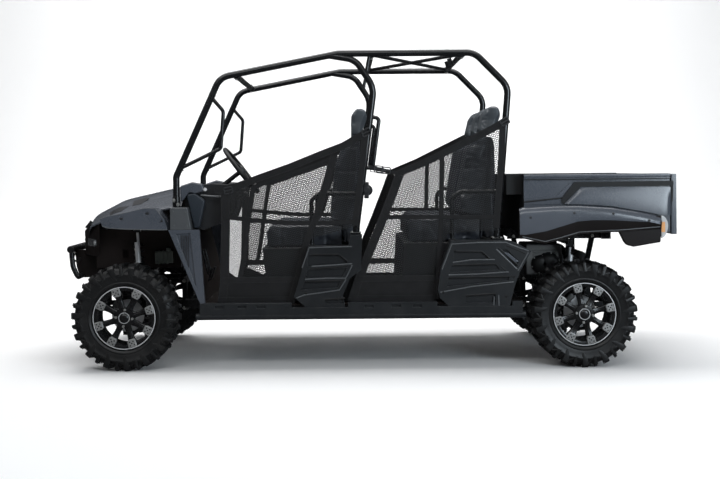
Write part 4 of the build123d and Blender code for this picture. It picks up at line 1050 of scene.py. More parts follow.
def coil(low_end, high_end, r, wire, turns, n=10):
    """A spring: a round wire carried along a helix between two points, its pitch closed up at the ends."""
    p, q = np.asarray(low_end, float), np.asarray(high_end, float)
    t = np.linspace(0, 1, int(turns * 20))
    rise = t + 0.035 * np.sin(2 * pi * t)
    a = 2 * pi * turns * t
    m = frame_to(q - p)
    length = np.linalg.norm(q - p)
    path = p + np.stack([r * np.cos(a), r * np.sin(a), rise * length], axis=-1) @ m.T
    return carried(path, circle(wire, n), up=tuple((q - p) / length))


def bellows(p, q, r_in, r_out, folds, n=24):
    """A folded rubber boot from p to q: its radius swings between two values along its length."""
    p, q = np.asarray(p, float), np.asarray(q, float)
    t = np.linspace(0, 1, folds * 4 + 1)
    r = r_in + (r_out - r_in) * (0.5 - 0.5 * np.cos(2 * pi * folds * t)) * (0.75 + 0.25 * t)
    section = circle(1.0, n)
    return carried(p + (q - p) * t[:, None], section, up=(0, 0.2, 1), scale=r)


def shock_ends():
    """Lower and upper eyes of the left front and rear shock absorbers, read from the CAD box."""
    lo, hi = low("shock_absorbers"), high("shock_absorbers")
    return (
        ((FRONT_X + 0.062, -SHOCK_LOW_Y, lo[2] + 0.014), (FRONT_X + 0.003, -0.330, hi[2] - 0.004)),
        ((REAR_X - 0.062, -SHOCK_LOW_Y, lo[2] + 0.016), (REAR_X + 0.003, -0.316, 0.725)),
    )


def make_shocks():
    silver, black, spring, rubber = [], [], [], []
    for p, q in shock_ends():
        p, q = np.array(p), np.array(q)

        def at(t):
            return p + (q - p) * t

        silver.append(rod(at(0.60), at(0.97), 0.0085, 20))
        black.append(rod(at(0.04), at(0.62), 0.019, 28))
        for t0, t1, r in ((0.20, 0.225, 0.036), (0.80, 0.83, 0.034), (0.62, 0.645, 0.022)):
            black.append(rod(at(t0), at(t1), r, 36))
        spring.append(coil(at(0.235), at(0.79), 0.0285, 0.0058, bpy.context.scene.vehicle_looks.coil_turns))
        spring.append(coil(at(0.23), at(0.33), 0.0285, 0.0058, 2.5))
        for end in (p, q):
            rubber.append(rod(end - np.array([0.020, 0, 0]), end + np.array([0.020, 0, 0]), 0.0135, 24))
            silver.append(rod(end - np.array([0.024, 0, 0]), end + np.array([0.024, 0, 0]), 0.0065, 16))
        rubber.append(rod(at(0.645), at(0.70), 0.016, 24))
        tank = np.array([0.0, -0.042, 0.0])
        silver.append(carried([at(0.62) + tank, at(0.86) + tank], circle(0.017, 28)))
        black.append(carried([at(0.60) + tank, at(0.62) + tank], circle(0.0185, 28)))
        black.append(tube([at(0.63) + tank * 0.9, at(0.61) + tank * 0.5, at(0.60)], [0.008], 0.006, 12))
    made = []
    for name, parts, finish, slot, replaces in (
        ("shock_bodies", black, "frame_black", "frame_black", "shock_absorbers"),
        ("shock_springs", spring, "spring_paint", "frame_black", ()),
        ("shock_rods", silver, "bright_metal", "bare_steel", ()),
        ("shock_bushes", rubber, "boot_rubber", "trim_black", ()),
    ):
        made.append(piece(name, pair(merged(parts)), finish, replaces=replaces, slot=slot))
    return made


def make_arms():
    """Wishbones and knuckles with rounded edges, their bush rubbers, ball-joint boots and bolts."""
    made = [
        softened("front_wishbones", "front_arms", "frame_black", 0.0035),
        softened("rear_wishbones", "rear_arms", "frame_black", 0.0035),
        softened("left_knuckle", "knuckle_left", "cast_metal", 0.005),
        softened("right_knuckle", "knuckle_right", "cast_metal", 0.005),
    ]
    bolts, rubber = [], []
    for x in (FRONT_X, REAR_X):
        for spread, z in ((0.150, 0.318), (0.170, 0.500)):
            for s in (-1, 1):
                place = np.array([x + s * spread, -0.199, z])
                for e in (-1, 1):
                    bolts.append(bolt(place + [e * 0.0222, 0, 0], (e, 0, 0), 0.009, 0.009))
                    rubber.append(rod(place + [e * 0.0224, 0, 0], place + [e * 0.0205, 0, 0], 0.0155, 24))
    for x, y in ((FRONT_X, KINGPIN_Y), (REAR_X, REAR_HUB_Y)):
        for z, up in ((0.217, 1), (0.443, -1)):
            rubber.append(bellows((x, -y, z + up * 0.0125), (x, -y, z + up * 0.0165), 0.011, 0.0145, 2))
            bolts.append(bolt((x, -y, z - up * 0.0118), (0, 0, -up), 0.0095, 0.008))
    made.append(piece("arm_bolts", pair(merged(bolts)), "zinc"))
    made.append(piece("arm_rubbers", pair(merged(rubber)), "boot_rubber"))
    return made


def make_brakes():
    """A brake disc with its clasp behind each wheel."""
    made = []
    for name, x, y, body in (
        ("front_left", FRONT_X, -0.640, "knuckle_left"), ("front_right", FRONT_X, 0.640, "knuckle_right"),
        ("rear_left", REAR_X, -0.612, "chassis"), ("rear_right", REAR_X, 0.612, "chassis"),
    ):
        disc = moved(lathe([
            (0.042, 0.002), (0.100, 0.002), (0.102, 0), (0.100, -0.002), (0.042, -0.002), (0.040, 0),
        ], 72), (x, y, TYRE_R))
        clasp = carried(
            [(x - 0.080, y, TYRE_R + 0.050), (x - 0.070, y, TYRE_R + 0.078), (x - 0.042, y, TYRE_R + 0.104)],
            rounded_box(0.040, 0.034, 0.007, 4),
        )
        made.append(piece(f"brake_disc_{name}", disc, "bright_metal", body))
        made.append(piece(f"brake_clasp_{name}", clasp, "cast_metal", body))
    return made


def make_steering():
    """Tie rods, rack housing and steering column, with their edges rounded."""
    return [
        softened("tie_rod_steel", "tie_rods", "dark_steel", 0.001),
        softened("rack_housing", "steering_rack", "cast_metal", 0.002),
        softened("column", "steering_column", "frame_black", 0.002),
    ]


def make_drive():
    """Final drives, half shafts with folded boots, and the engine with its fins, covers and pipes."""
    made = [softened("final_drives", "axle_drives", "cast_metal", 0.004)]
    boots, ribs = [], []
    for x, reach, end_z in ((FRONT_X, 0.560, 0.338), (REAR_X, 0.553, 0.334)):
        p, q = np.array([x, -0.125, 0.400]), np.array([x, -reach, end_z])
        for t0, t1 in ((0.04, 0.20), (0.80, 0.93)):
            boots.append(bellows(p + (q - p) * t0, p + (q - p) * t1, 0.017, 0.0345, 5))
        for k in range(5):
            ribs.append(
                block(
                    (x - 0.078, x + 0.078), (-0.100 + k * 0.05 - 0.003, -0.100 + k * 0.05 + 0.003),
                    (0.375, 0.474),
                )
            )
    made.append(piece("shaft_boots", pair(merged(boots)), "boot_rubber"))
    made.append(piece("drive_ribs", merged(ribs), "cast_metal", bevel=0.0015))
    lo, hi = low("engine_block"), high("engine_block")
    made.append(softened("engine_case", "engine_block", "cast_metal", 0.012, segments=3))
    fins, covers, pipes = [], [], []
    for k in range(9):
        z = lo[2] + 0.035 + k * 0.016
        fins.append(block((lo[0] + 0.05, hi[0] - 0.04), (lo[1] - 0.012, hi[1] + 0.012), (z, z + 0.005)))
    for s in (-1, 1):
        y = s * (hi[1] + 0.001)
        for cx, cz, r in ((lo[0] + 0.10, lo[2] + 0.075, 0.060), (hi[0] - 0.09, lo[2] + 0.080, 0.072)):
            cover = disc_lathe(
                [(0, 0.030), (r * 0.55, 0.030), (r * 0.8, 0.024), (r, 0.012), (r * 1.04, 0), (0, 0)], 48,
            )
            covers.append(moved(cover if s > 0 else mirrored(cover), (cx, y, cz)))
            for a in range(6):
                place = (
                    cx + r * 0.94 * cos(a * pi / 3 + 0.3), y + s * 0.010,
                    cz + r * 0.94 * sin(a * pi / 3 + 0.3),
                )
                pipes.append(bolt(place, (0, s, 0), 0.005, 0.006))
    exhaust = tube(
        [(hi[0] - 0.05, 0.10, hi[2] - 0.05), (hi[0] + 0.03, 0.10, hi[2] - 0.03), (hi[0] + 0.09, 0.04, 0.62)],
        [0.04], 0.022, 24,
    )
    can = carried([(REAR_X + 0.10, -0.16, 0.62), (REAR_X + 0.10, 0.16, 0.62)], circle(0.055, 40))
    made.append(piece("engine_fins", merged(fins), "cast_metal", bevel=0.0015))
    made.append(piece("engine_covers", merged(covers), "dark_steel", slot="cast_metal"))
    made.append(piece("engine_bolts", merged(pipes), "zinc"))
    made.append(piece("exhaust_pipe", exhaust, "dark_steel"))
    made.append(piece("silencer", can, "dark_steel", bevel=0.01, segments=3))
    return made


# ---------------- cage ----------------

CAGE_Y, CAGE_R, LOOP_R = 0.650, 0.021, 0.012
ROOF_Z = 1.965


def along(p, q, t):
    return tuple(np.array(p) + (np.array(q) - np.array(p)) * t)


A_FOOT = (front(311), 1.008)
A_KNEE = (front(311), 1.200)
A_TOP = (front(591), ROOF_Z - 0.143)
ROOF_BEND = (row(-90), ROOF_Z)
C_TOP, C_KNEE, C_FOOT = (rear(-655), ROOF_Z), (rear(-444), ROOF_Z - 0.215), (rear(-524), 0.800)
B_ROOF, B_BEND = (row(-140), ROOF_Z - 0.012), (row(20), ROOF_Z - 0.040)
B_KNEE, B_FOOT = (row(134), ROOF_Z - 0.215), (row(14), 0.841)


def side_tube(points, bends, r, y=-CAGE_Y, n=24):
    return tube([(x, y, z) for x, z in points], bends, r, n)


def weld(place, direction, r, wire=0.0028, beads=30):
    """A weld: a ring round a tube whose thickness ripples once a bead."""
    a = np.linspace(0, 2 * pi, beads * 4, endpoint=False)
    m = frame_to(direction)
    path = np.asarray(place, float) + np.stack([r * np.cos(a), r * np.sin(a), 0 * a], axis=-1) @ m.T
    return carried(path, circle(wire, 8), closed=True, up=tuple(m[:, 2]), scale=1 + 0.22 * np.sin(beads * a))


def make_cage():
    """The two side hoops, the roof bars with their braces, grab bars, welds, clamps and foot plates."""
    main = side_tube(
        (A_FOOT, A_KNEE, A_TOP, ROOF_BEND, C_TOP, C_KNEE, C_FOOT), [0.06, 0.110, 0.09, 0.120, 0.120], CAGE_R,
        n=32,
    )
    pillar = side_tube((B_ROOF, B_BEND, B_KNEE, B_FOOT), [0.120, 0.160], CAGE_R, n=32)
    gusset = side_tube(((row(112), ROOF_Z), (row(86), ROOF_Z - 0.130)), [], 0.012)
    top, loop_low, mid = along(A_KNEE, A_TOP, 0.80), along(A_KNEE, A_TOP, 0.08), along(A_KNEE, A_TOP, 0.35)
    loop = side_tube(
        (top, (top[0] + 0.076, top[1] - 0.088), (mid[0] + 0.184, mid[1] - 0.043), loop_low), [0.040, 0.030],
        LOOP_R,
    )
    grab_top, grab_low = along(B_KNEE, B_FOOT, 0.2), along(B_KNEE, B_FOOT, 0.555)
    grab = side_tube(
        (grab_top, (grab_top[0] + 0.056, grab_top[1] - 0.012), (grab_low[0] + 0.056, grab_low[1]), grab_low),
        [0.022, 0.022], 0.0125,
    )
    plates = [
        block((x - 0.032, x + 0.032), (-CAGE_Y - 0.034, -CAGE_Y + 0.034), (z - 0.012, z))
        for x, z in (B_FOOT, C_FOOT)
    ]
    welds = [
        weld((p[0], -CAGE_Y, p[1]), (0, 0, 1), CAGE_R)
        for p in ((B_FOOT[0], B_FOOT[1]), (C_FOOT[0], C_FOOT[1]))
    ]
    for p, d in (
        (top, (0.65, 0, -0.76)), (loop_low, (0.9, 0, 0.35)), (grab_top, (1, 0, -0.2)), (grab_low, (1, 0, 0)),
        ((row(112), ROOF_Z - 0.020), (0.2, 0, 1)), ((row(86) + 0.004, ROOF_Z - 0.112), (0.2, 0, 1)),
    ):
        welds.append(weld((p[0] + 0.016 * (abs(d[0]) > 0.5), -CAGE_Y, p[1]), d, 0.0135))
    bolts = []
    for x, z in (B_FOOT, C_FOOT):
        for sx in (-1, 1):
            for sy in (-1, 1):
                bolts.append(bolt((x + sx * 0.025, -CAGE_Y + sy * 0.027, z), (0, 0, 1), 0.0065, 0.007))
    side = merged([main, pillar, gusset, loop, grab])
    made = [
        piece("cage_hoop_left", side, "frame_black", replaces="cage_left"),
        piece("cage_hoop_right", mirrored(side), "frame_black", replaces="cage_right"),
        piece("cage_foot_plates", pair(merged(plates)), "frame_black", bevel=0.002),
        piece("cage_welds", pair(merged(welds)), "frame_black"),
        piece("cage_foot_bolts", pair(merged(bolts)), "zinc"),
    ]
    bar_x = A_TOP[0] + 0.092
    t = (bar_x - A_TOP[0]) / (ROOF_BEND[0] - A_TOP[0])
    bar_z = along(A_TOP, ROOF_BEND, t)[1]
    end = CAGE_Y - CAGE_R - 0.0003
    mid_x, rear_x = row(120), rear(-722)
    bars = [
        carried([(x, -end, z), (x, end, z)], circle(0.018, 28))
        for x, z in ((bar_x, bar_z), (mid_x, ROOF_Z), (rear_x, ROOF_Z))
    ]
    brace_y = end - 0.069
    braces = pair(rod((mid_x, -brace_y, ROOF_Z), (rear_x, brace_y, ROOF_Z), 0.012, 24))
    clamps, clamp_bolts, roof_welds = [], [], []
    y = -end + 0.075
    for x, z in ((bar_x, bar_z), (mid_x, ROOF_Z), (rear_x, ROOF_Z)):
        clamps.append(carried([(x, y - 0.032, z), (x, y + 0.032, z)], circle(0.0225, 28)))
        clamps.append(block((x - 0.030, x + 0.030), (y - 0.032, y + 0.032), (z - 0.0035, z + 0.0035)))
        for s in (-1, 1):
            clamp_bolts.append(bolt((x, y + s * 0.017, z + 0.0215), (0, 0, 1), 0.0065, 0.007))
            clamp_bolts.append(bolt((x, y + s * 0.017, z - 0.0215), (0, 0, -1), 0.0065, 0.007))
        roof_welds.append(weld((x, -end, z), (0, 1, 0), 0.0185))
    for x, s in ((mid_x, 1), (rear_x, -1)):
        roof_welds.append(weld((x + s * 0.020, -brace_y + 0.013, ROOF_Z), (s * 0.75, 0.6, 0), 0.0135))
    hooks = [
        carried(
            [(rear_x - 0.020, s * 0.10, ROOF_Z), (rear_x - 0.050, s * 0.10, ROOF_Z - 0.010)],
            rounded_box(0.05, 0.006, 0.002),
        )
        for s in (-1, 1)
    ]
    made += [
        piece("roof_bars", merged(bars + [braces]), "frame_black", replaces="cage_roof_frame"),
        piece("roof_clamps", pair(merged(clamps)), "frame_black", bevel=0.0015),
        piece("roof_clamp_bolts", pair(merged(clamp_bolts)), "zinc"),
        piece("roof_welds", pair(merged(roof_welds)), "frame_black"),
        piece("roof_hooks", merged(hooks), "frame_black", bevel=0.0015),
    ]
    return made


def make_restraints():
    """Hip bars on their feet, and the belt drums on the B pillars."""
    y = -(CAGE_Y - CAGE_R - 0.014 - 0.0003)
    fz, rz = 0.760, 0.788
    hips = [
        side_tube(
            ((row(-265), fz), (row(-265), fz + 0.290), (row(-210), fz + 0.325), (row(40), fz + 0.325)),
            [0.05, 0.05], 0.0138, y,
        ),
        side_tube(
            ((rear(-800), rz), (rear(-800), rz + 0.267), (rear(-745), rz + 0.302), (rear(-517), rz + 0.302)),
            [0.05, 0.05], 0.0138, y,
        ),
    ]
    feet = [
        block((x - 0.022, x + 0.022), (y - 0.020, y + 0.020), (z, z + 0.006))
        for x, z in ((row(-265), fz), (rear(-800), rz))
    ]
    drum_x, drum_z = row(86), 1.105
    drum = moved(
        disc_lathe(
            [
                (0, -0.020), (0.018, -0.020), (0.022, -0.016), (0.022, -0.010), (0.034, -0.010),
                (0.036, -0.006), (0.036, 0.006), (0.034, 0.010), (0, 0.010),
            ], 48,
        ), (drum_x, -CAGE_Y + 0.004, drum_z),
    )
    strap_post = block(
        (drum_x - 0.018, drum_x + 0.012), (-CAGE_Y - 0.012, -CAGE_Y + 0.012),
        (drum_z - 0.052, drum_z + 0.052),
    )
    return [
        piece("hip_bar_tubes", pair(merged(hips)), "frame_black", replaces="hip_bars"),
        piece("hip_bar_feet", pair(merged(feet)), "frame_black", bevel=0.002),
        piece("belt_drums", pair(drum), "trim_black", angle=30),
        piece("belt_drum_posts", pair(strap_post), "trim_black", bevel=0.004),
    ]


# ---------------- body panels ----------------

SOFTENED = (
    # name, CAD node, finish, slot, edge radius
    ("rails", "frame_rails", "frame_black", "frame_black", 0.004),
    ("crossmembers", "frame_crossmembers", "frame_black", "frame_black", 0.003),
    ("front_box_frame", "front_subframe", "frame_black", "frame_black", 0.003),
    ("rear_box_frame", "rear_subframe", "frame_black", "frame_black", 0.003),
    ("floor_sheet", "floor_pan", "floor_mat", "trim_black", 0.002),
    ("sill_panels", "sills", "box_plastic", "trim_black", 0.005),
    ("side_box_mouldings", "side_boxes", "box_plastic", "trim_black", 0.006),
    ("seat_base_boxes", "seat_bases", "trim_black", "trim_black", 0.006),
    ("nose_moulding", "nose_panel", "brown_black", "body_grey", 0.003),
    ("fender_mouldings", "front_fenders", "body_plastic", "body_grey", 0.004),
    ("cowl_mouldings", "cowl_panels", "body_plastic", "body_grey", 0.005),
    ("cage_foot_brackets", "cage_feet", "bracket_paint", "frame_black", 0.004),
    ("firewall_sheet", "firewall", "floor_mat", "trim_black", 0.002),
    ("dash_moulding", "dashboard", "trim_black", "trim_black", 0.012),
    ("bed_moulding", "bed_box", "body_plastic", "body_grey", 0.005),
    ("tailgate_moulding", "tailgate", "body_plastic", "body_grey", 0.004),
    ("hitch_socket", "rear_hitch", "frame_black", "frame_black", 0.003),
)


ZONES = {
    "cowl_mouldings": (("floor_mat", lambda p, n: np.abs(p[:, 1]) < 0.31),),
    "bed_moulding": (("bed_liner", lambda p, n: (np.abs(p[:, 1]) < 0.72) | (n[:, 2] < -0.5)),),
}


def make_panels(names):
    return [
        softened(
            name, node_name, finish, width, segments=3 if width > 0.003 else 2, zones=ZONES.get(name, ()),
            slot=slot,
        )
        for name, node_name, finish, slot, width in SOFTENED if name in names
    ]


HOOD = (
    # x from the front axle, top z, half width, edge z, all in millimetres
    (-404, 822, 300, 796), (-300, 954, 410, 884), (-120, 1046, 520, 948), (333, 1148, 600, 1018),
)


def hood_place(t, s):
    """A point on the hood's top: t from nose to windscreen, s from -1 at the left edge to 1 at the right.

    Stations of (x, top, half width, edge) are joined by straight lines, each with its corners
    eased, and across each one the height follows an arc between the edge, the top and the edge."""
    table = np.array(HOOD, float)
    steps = np.linspace(0, 1, len(table))
    fine = np.linspace(0, 1, 61)
    eased = []
    for column in table.T:
        line = np.interp(fine, steps, column)
        pad = np.concatenate([2 * line[0] - line[6:0:-1], line, 2 * line[-1] - line[-2:-8:-1]])
        eased.append(np.convolve(pad, np.hanning(9) / np.hanning(9).sum(), "same")[6:-6])
    x, top, half, edge = (np.interp(t, fine, column) for column in eased)
    x = x + 92 * s ** 2 * (1 - np.minimum(t * 1.8, 1)) ** 2
    sag = top - edge
    r = (half ** 2 + sag ** 2) / (2 * sag)
    y = s * half
    z = top - r + np.sqrt(r ** 2 - y ** 2)
    return FRONT_X + x * MM, y * MM, z * MM


def hood_patch(outline, lift, thick):
    """A raised patch over the hood: an outline of (t, s) points filled from its middle and lifted off."""
    p = np.array(outline, float)
    p = np.vstack([np.linspace(a, b, 6, endpoint=False) for a, b in zip(p, np.roll(p, -1, 0))])
    centre = p.mean(0)
    k = np.linspace(0.02, 1, 8)[:, None, None]
    grid = centre + (p[None] - centre) * k
    x, y, z = hood_place(grid[..., 0], grid[..., 1])
    top = np.stack([x, y, z + lift], axis=-1)
    rings = np.concatenate([top, (top[-1:] - [0, 0, thick])])
    v, f = surface(rings, wrap_v=True)
    return v, f + [list(range(len(p)))[::-1]]


def make_hood():
    """Hood skin with its pressed centre and edge lip, dark vents, black nose trim and its latch."""
    t = np.linspace(0, 1, 64)[:, None]
    s = np.linspace(-1, 1, 81)[None, :]
    x, y, z = (np.broadcast_to(a, (64, 81)) for a in hood_place(t, s))
    crown = np.clip(
        1 - ((np.abs(s) - 0.62) / 0.05) ** 2, 0, None,
    ) * np.clip(np.minimum(t * 12, (1 - t) * 9), 0, 1)
    lip = np.clip((np.abs(s) - 0.93) / 0.07, 0, 1) ** 2 * 0.004
    z = z - 0.004 * crown - lip
    top = np.stack([x, y, z], axis=-1)
    under = top - [0, 0, 0.0085]
    rim = [(0, slice(None)), (-1, slice(None)), (slice(None), 0), (slice(None), -1)]
    nu, nv = 64, 81
    index = np.arange(nu * nv).reshape(nu, nv)
    faces = as_faces(index).tolist() + [f[::-1] for f in (as_faces(index) + nu * nv).tolist()]
    for side in rim:
        a = index[side]
        b = a + nu * nv
        faces += np.stack([a[:-1], a[1:], b[1:], b[:-1]], axis=-1).tolist()
    skin = np.vstack([top.reshape(-1, 3), under.reshape(-1, 3)]), faces
    hinge = []
    pz = 1.116
    for s_ in (-1, 1):
        hinge.append(
            block(
                (front(317) - 0.018, front(317) + 0.018), (s_ * 0.150 - 0.015, s_ * 0.150 + 0.015),
                (pz - 0.012, pz + 0.020),
            )
        )
    vents = [
        hood_patch([(0.59, 0.80), (0.68, 0.70), (0.725, 0.74), (0.70, 0.88), (0.62, 0.93)], 0.0020, 0.004),
        hood_patch([(0.735, 0.52), (0.795, 0.48), (0.815, 0.56), (0.79, 0.74), (0.745, 0.76)], 0.0020, 0.004),
    ]
    trim = hood_patch([(0.0, -0.78), (0.0, 0.78), (0.10, 0.66), (0.12, 0), (0.10, -0.66)], 0.0022, 0.006)
    slats = []
    for k in range(5):
        u = 0.625 + k * 0.017
        slats.append(
            hood_patch([(u, 0.76), (u + 0.006, 0.76), (u + 0.008, 0.87), (u + 0.002, 0.87)], 0.0045, 0.004)
        )
    latch = carried([
        [float(a) for a in np.array(hood_place(t, 0.0)) + [0, 0, 0.004]] for t in (0.03, 0.09, 0.15)
    ], rounded_box(0.060, 0.010, 0.003, 4))
    return [
        piece("hood_skin", skin, "body_plastic", "hood", replaces="hood", angle=40),
        piece("hood_hinges", merged(hinge), "frame_black", "hood", bevel=0.002),
        piece("hood_vents", pair(merged(vents)), "trim_black", "hood"),
        piece("hood_vent_slats", pair(merged(slats)), "trim_black", "hood"),
        piece("hood_nose_trim", trim, "trim_black", "hood"),
        piece("hood_latch", latch, "trim_black", "hood", bevel=0.002),
    ]


# ---------------- seats ----------------

SEAT_HALF = float(high("seat_cushion_front")[1])
PLACES = (-SEAT_HALF * 2 / 3, 0.0, SEAT_HALF * 2 / 3)


def inflated(name, node_name, voxel, cap=0.022, shrink=0.010):
    """A cushion blown up by a cloth simulation from a slightly smaller copy of its CAD solid."""
    source = frame["nodes"][node_name]
    mesh = source.data.copy()
    mesh.name = name
    obj = into_scene(name, mesh)
    bpy.context.view_layer.objects.active = obj
    for o in bpy.context.selected_objects:
        o.select_set(False)
    obj.select_set(True)
    grid = obj.modifiers.new("grid", "REMESH")
    grid.mode, grid.voxel_size = "VOXEL", voxel
    bpy.ops.object.modifier_apply(modifier=grid.name)
    mesh = obj.data
    n = len(mesh.vertices)
    start = np.empty(n * 3)
    mesh.vertices.foreach_get("co", start)
    start = start.reshape(n, 3)
    lo, hi = start.min(0), start.max(0)
    centre = (lo + hi) / 2
    smaller = centre + (start - centre) * (1 - 2 * shrink / (hi - lo))
    mesh.vertices.foreach_set("co", smaller.ravel())
    cloth = obj.modifiers.new("cloth", "CLOTH")
    settings = cloth.settings
    settings.quality = 4
    settings.mass = 0.3
    settings.use_pressure = True
    settings.uniform_pressure_force = bpy.context.scene.vehicle_looks.cushion_pressure
    settings.tension_stiffness = settings.compression_stiffness = 25
    settings.bending_stiffness = 1.5
    settings.effector_weights.gravity = 0
    cloth.collision_settings.use_collision = False
    cloth.point_cache.frame_start, cloth.point_cache.frame_end = 1, 20
    for k in range(1, 21):
        bpy.context.scene.frame_set(k)
    bpy.ops.object.modifier_apply(modifier=cloth.name)
    bpy.context.scene.frame_set(1)
    mesh = obj.data
    now = np.empty(n * 3)
    mesh.vertices.foreach_get("co", now)
    now = now.reshape(n, 3)
    shift = now - smaller
    far = np.linalg.norm(shift, axis=1)[:, None]
    smaller = smaller + shift * np.minimum(1, cap / np.maximum(far, 1e-9))
    smaller = np.clip(smaller, lo + 0.0005, hi - 0.0005)
    return obj, smaller, lo, hi


def channels(points, lo, hi, lines, across, depth, width):
    """Sewn channels: the surface dips along each line by a smooth valley of the given depth and width."""
    out = points.copy()
    centre = (lo + hi) / 2
    inward = centre - points
    inward /= np.maximum(np.linalg.norm(inward, axis=1)[:, None], 1e-9)
    for line in lines:
        gap = (points[:, across] - line) / width
        out += inward * (depth * np.exp(-gap ** 2))[:, None]
    return out


def finish_cushion(obj, points, node_name, material, slot):
    mesh = obj.data
    mesh.vertices.foreach_set("co", points.ravel())
    mesh.update()
    mesh.materials.clear()
    mesh.materials.append(material)
    mesh.shade_smooth()
    seat(obj, body_name(node_name), (node_name,), slot)
    return obj


SEATS = (
    # name, CAD node, voxel, channel lines as shares of the height or depth, axis of those lines
    ("front_seat_cushion", "seat_cushion_front", 0.009, (0.22, 0.50, 0.78), 0, 0.75),
    ("rear_seat_cushion", "seat_cushion_rear", 0.009, (0.22, 0.50, 0.78), 0, 0.75),
    ("front_seat_back", "seat_back_front", 0.009, (0.22, 0.45, 0.68, 0.90), 2, 0.65),
    ("rear_seat_back", "seat_back_rear", 0.009, (0.22, 0.45, 0.68, 0.90), 2, 0.65),
)


def make_seats():
    """The padded cushion and back of both rows, with sewn channels between their places, and welts."""
    made, welts = [], []
    for name, node_name, voxel, shares, axis, fill in SEATS:
        obj, points, lo, hi = inflated(name, node_name, voxel)
        lines = [lo[axis] + (hi[axis] - lo[axis]) * k for k in shares]
        points = channels(points, lo, hi, lines, axis, 0.008, 0.010)
        points = channels(points, lo, hi, [-SEAT_HALF / 3, SEAT_HALF / 3], 1, 0.020, 0.016)
        made.append(finish_cushion(obj, points, node_name, FINISH["seat_vinyl"], "seat_vinyl"))
        y = SEAT_HALF - 0.006
        if axis == 2:
            path = np.array(
                [
                    (hi[0] - 0.055 - (1 - t) * 0.045, y, lo[2] + 0.03 + t * (hi[2] - lo[2] - 0.08))
                    for t in np.linspace(0, 1, 12)
                ]
            )
            welts.append(carried(path, circle(0.0035, 10)))
    made.append(piece("seat_welts", pair(merged(welts)), "seat_panel"))
    return made


def make_headrests():
    """Headrests: each CAD block becomes a rounded pad with a seam round its side."""
    obj, points, lo, hi = inflated("headrest_pads", "headrests", 0.006, cap=0.010, shrink=0.0)
    for x_low, x_high in ((lo[0], (lo[0] + hi[0]) / 2), ((lo[0] + hi[0]) / 2, hi[0])):
        for y in PLACES:
            pad = (points[:, 0] > x_low - 1e-6) & (points[:, 0] <= x_high) & (np.abs(points[:, 1] - y) < 0.14)
            if not pad.any():
                continue
            p = points[pad]
            a, b = p.min(0), p.max(0)
            side = np.clip((np.abs(p[:, 1] - y) - 0.075) / 0.045, 0, 1)
            mid = (a + b) / 2
            p[:, 0] = mid[0] + (p[:, 0] - mid[0]) * (1 - 0.22 * side ** 2)
            p[:, 2] = mid[2] + (p[:, 2] - mid[2]) * (1 - 0.10 * side ** 2)
            p[:, 1] += (y - p[:, 1]) * 0.04 * np.exp(-((p[:, 2] - mid[2]) / 0.03) ** 2)
            points[pad] = p
    pads = finish_cushion(obj, points, "headrests", FINISH["headrest_vinyl"], "headrest_vinyl")
    posts = []
    for x, z in ((row(40), 1.470), (rear(-560), 1.475)):
        for y in PLACES:
            for s in (-1, 1):
                posts.append(
                    rod(
                        (x - 0.004, y + s * 0.055, z - 0.055), (x + 0.006, y + s * 0.055, z + 0.030), 0.0058,
                        14,
                    )
                )
    return [pads, piece("headrest_posts", merged(posts), "bright_metal")]


# ---------------- nets ----------------

NET_Y = -float(abs(low("side_nets_front")[1])) + 0.002


def net_points(points):
    return np.array([(x, z) for x, z in points], float)


FRONT_PANEL = net_points(
    (
        (front(642), 0.556), (front(638), 0.700), (front(640), 0.944), (front(640), 1.110),
        (front(851), 1.152), (front(1027), 1.212), (row(-175), 1.290), (row(70), 1.445), (row(60), 1.280),
        (row(40), 1.100), (row(12), 0.880), (row(-290), 0.800), (row(-343), 0.620), (row(-393), 0.556),
    )
)
REAR_PANEL = net_points(
    (
        (row(34), 0.556), (row(102), 0.731), (row(166), 0.881), (row(242), 1.074), (row(292), 1.200),
        (rear(-940), 1.285), (rear(-739), 1.384), (rear(-550), 1.474), (rear(-470), 1.528),
        (rear(-488), 1.300), (rear(-526), 0.850), (rear(-832), 0.830), (rear(-915), 0.620),
        (rear(-918), 0.556),
    )
)


def net_sheet(points, y, hang=0.004):
    """A net panel: its outline filled by rings that shrink towards the middle, bulging a little outwards."""
    p = np.vstack([np.linspace(a, b, 14, endpoint=False) for a, b in zip(points, np.roll(points, -1, 0))])
    centre = points.mean(0)
    k = np.linspace(0.03, 1, 16)[:, None, None]
    grid = centre + (p[None] - centre) * k
    bulge = hang * (1 - k[..., 0] ** 2)
    verts = np.stack([grid[..., 0], y - bulge * np.ones(grid.shape[:2]), grid[..., 1]], axis=-1)
    v, f = surface(verts, wrap_v=True)
    return v, f + [list(range(len(p)))], np.stack([v[:, 0], v[:, 2]], axis=-1)


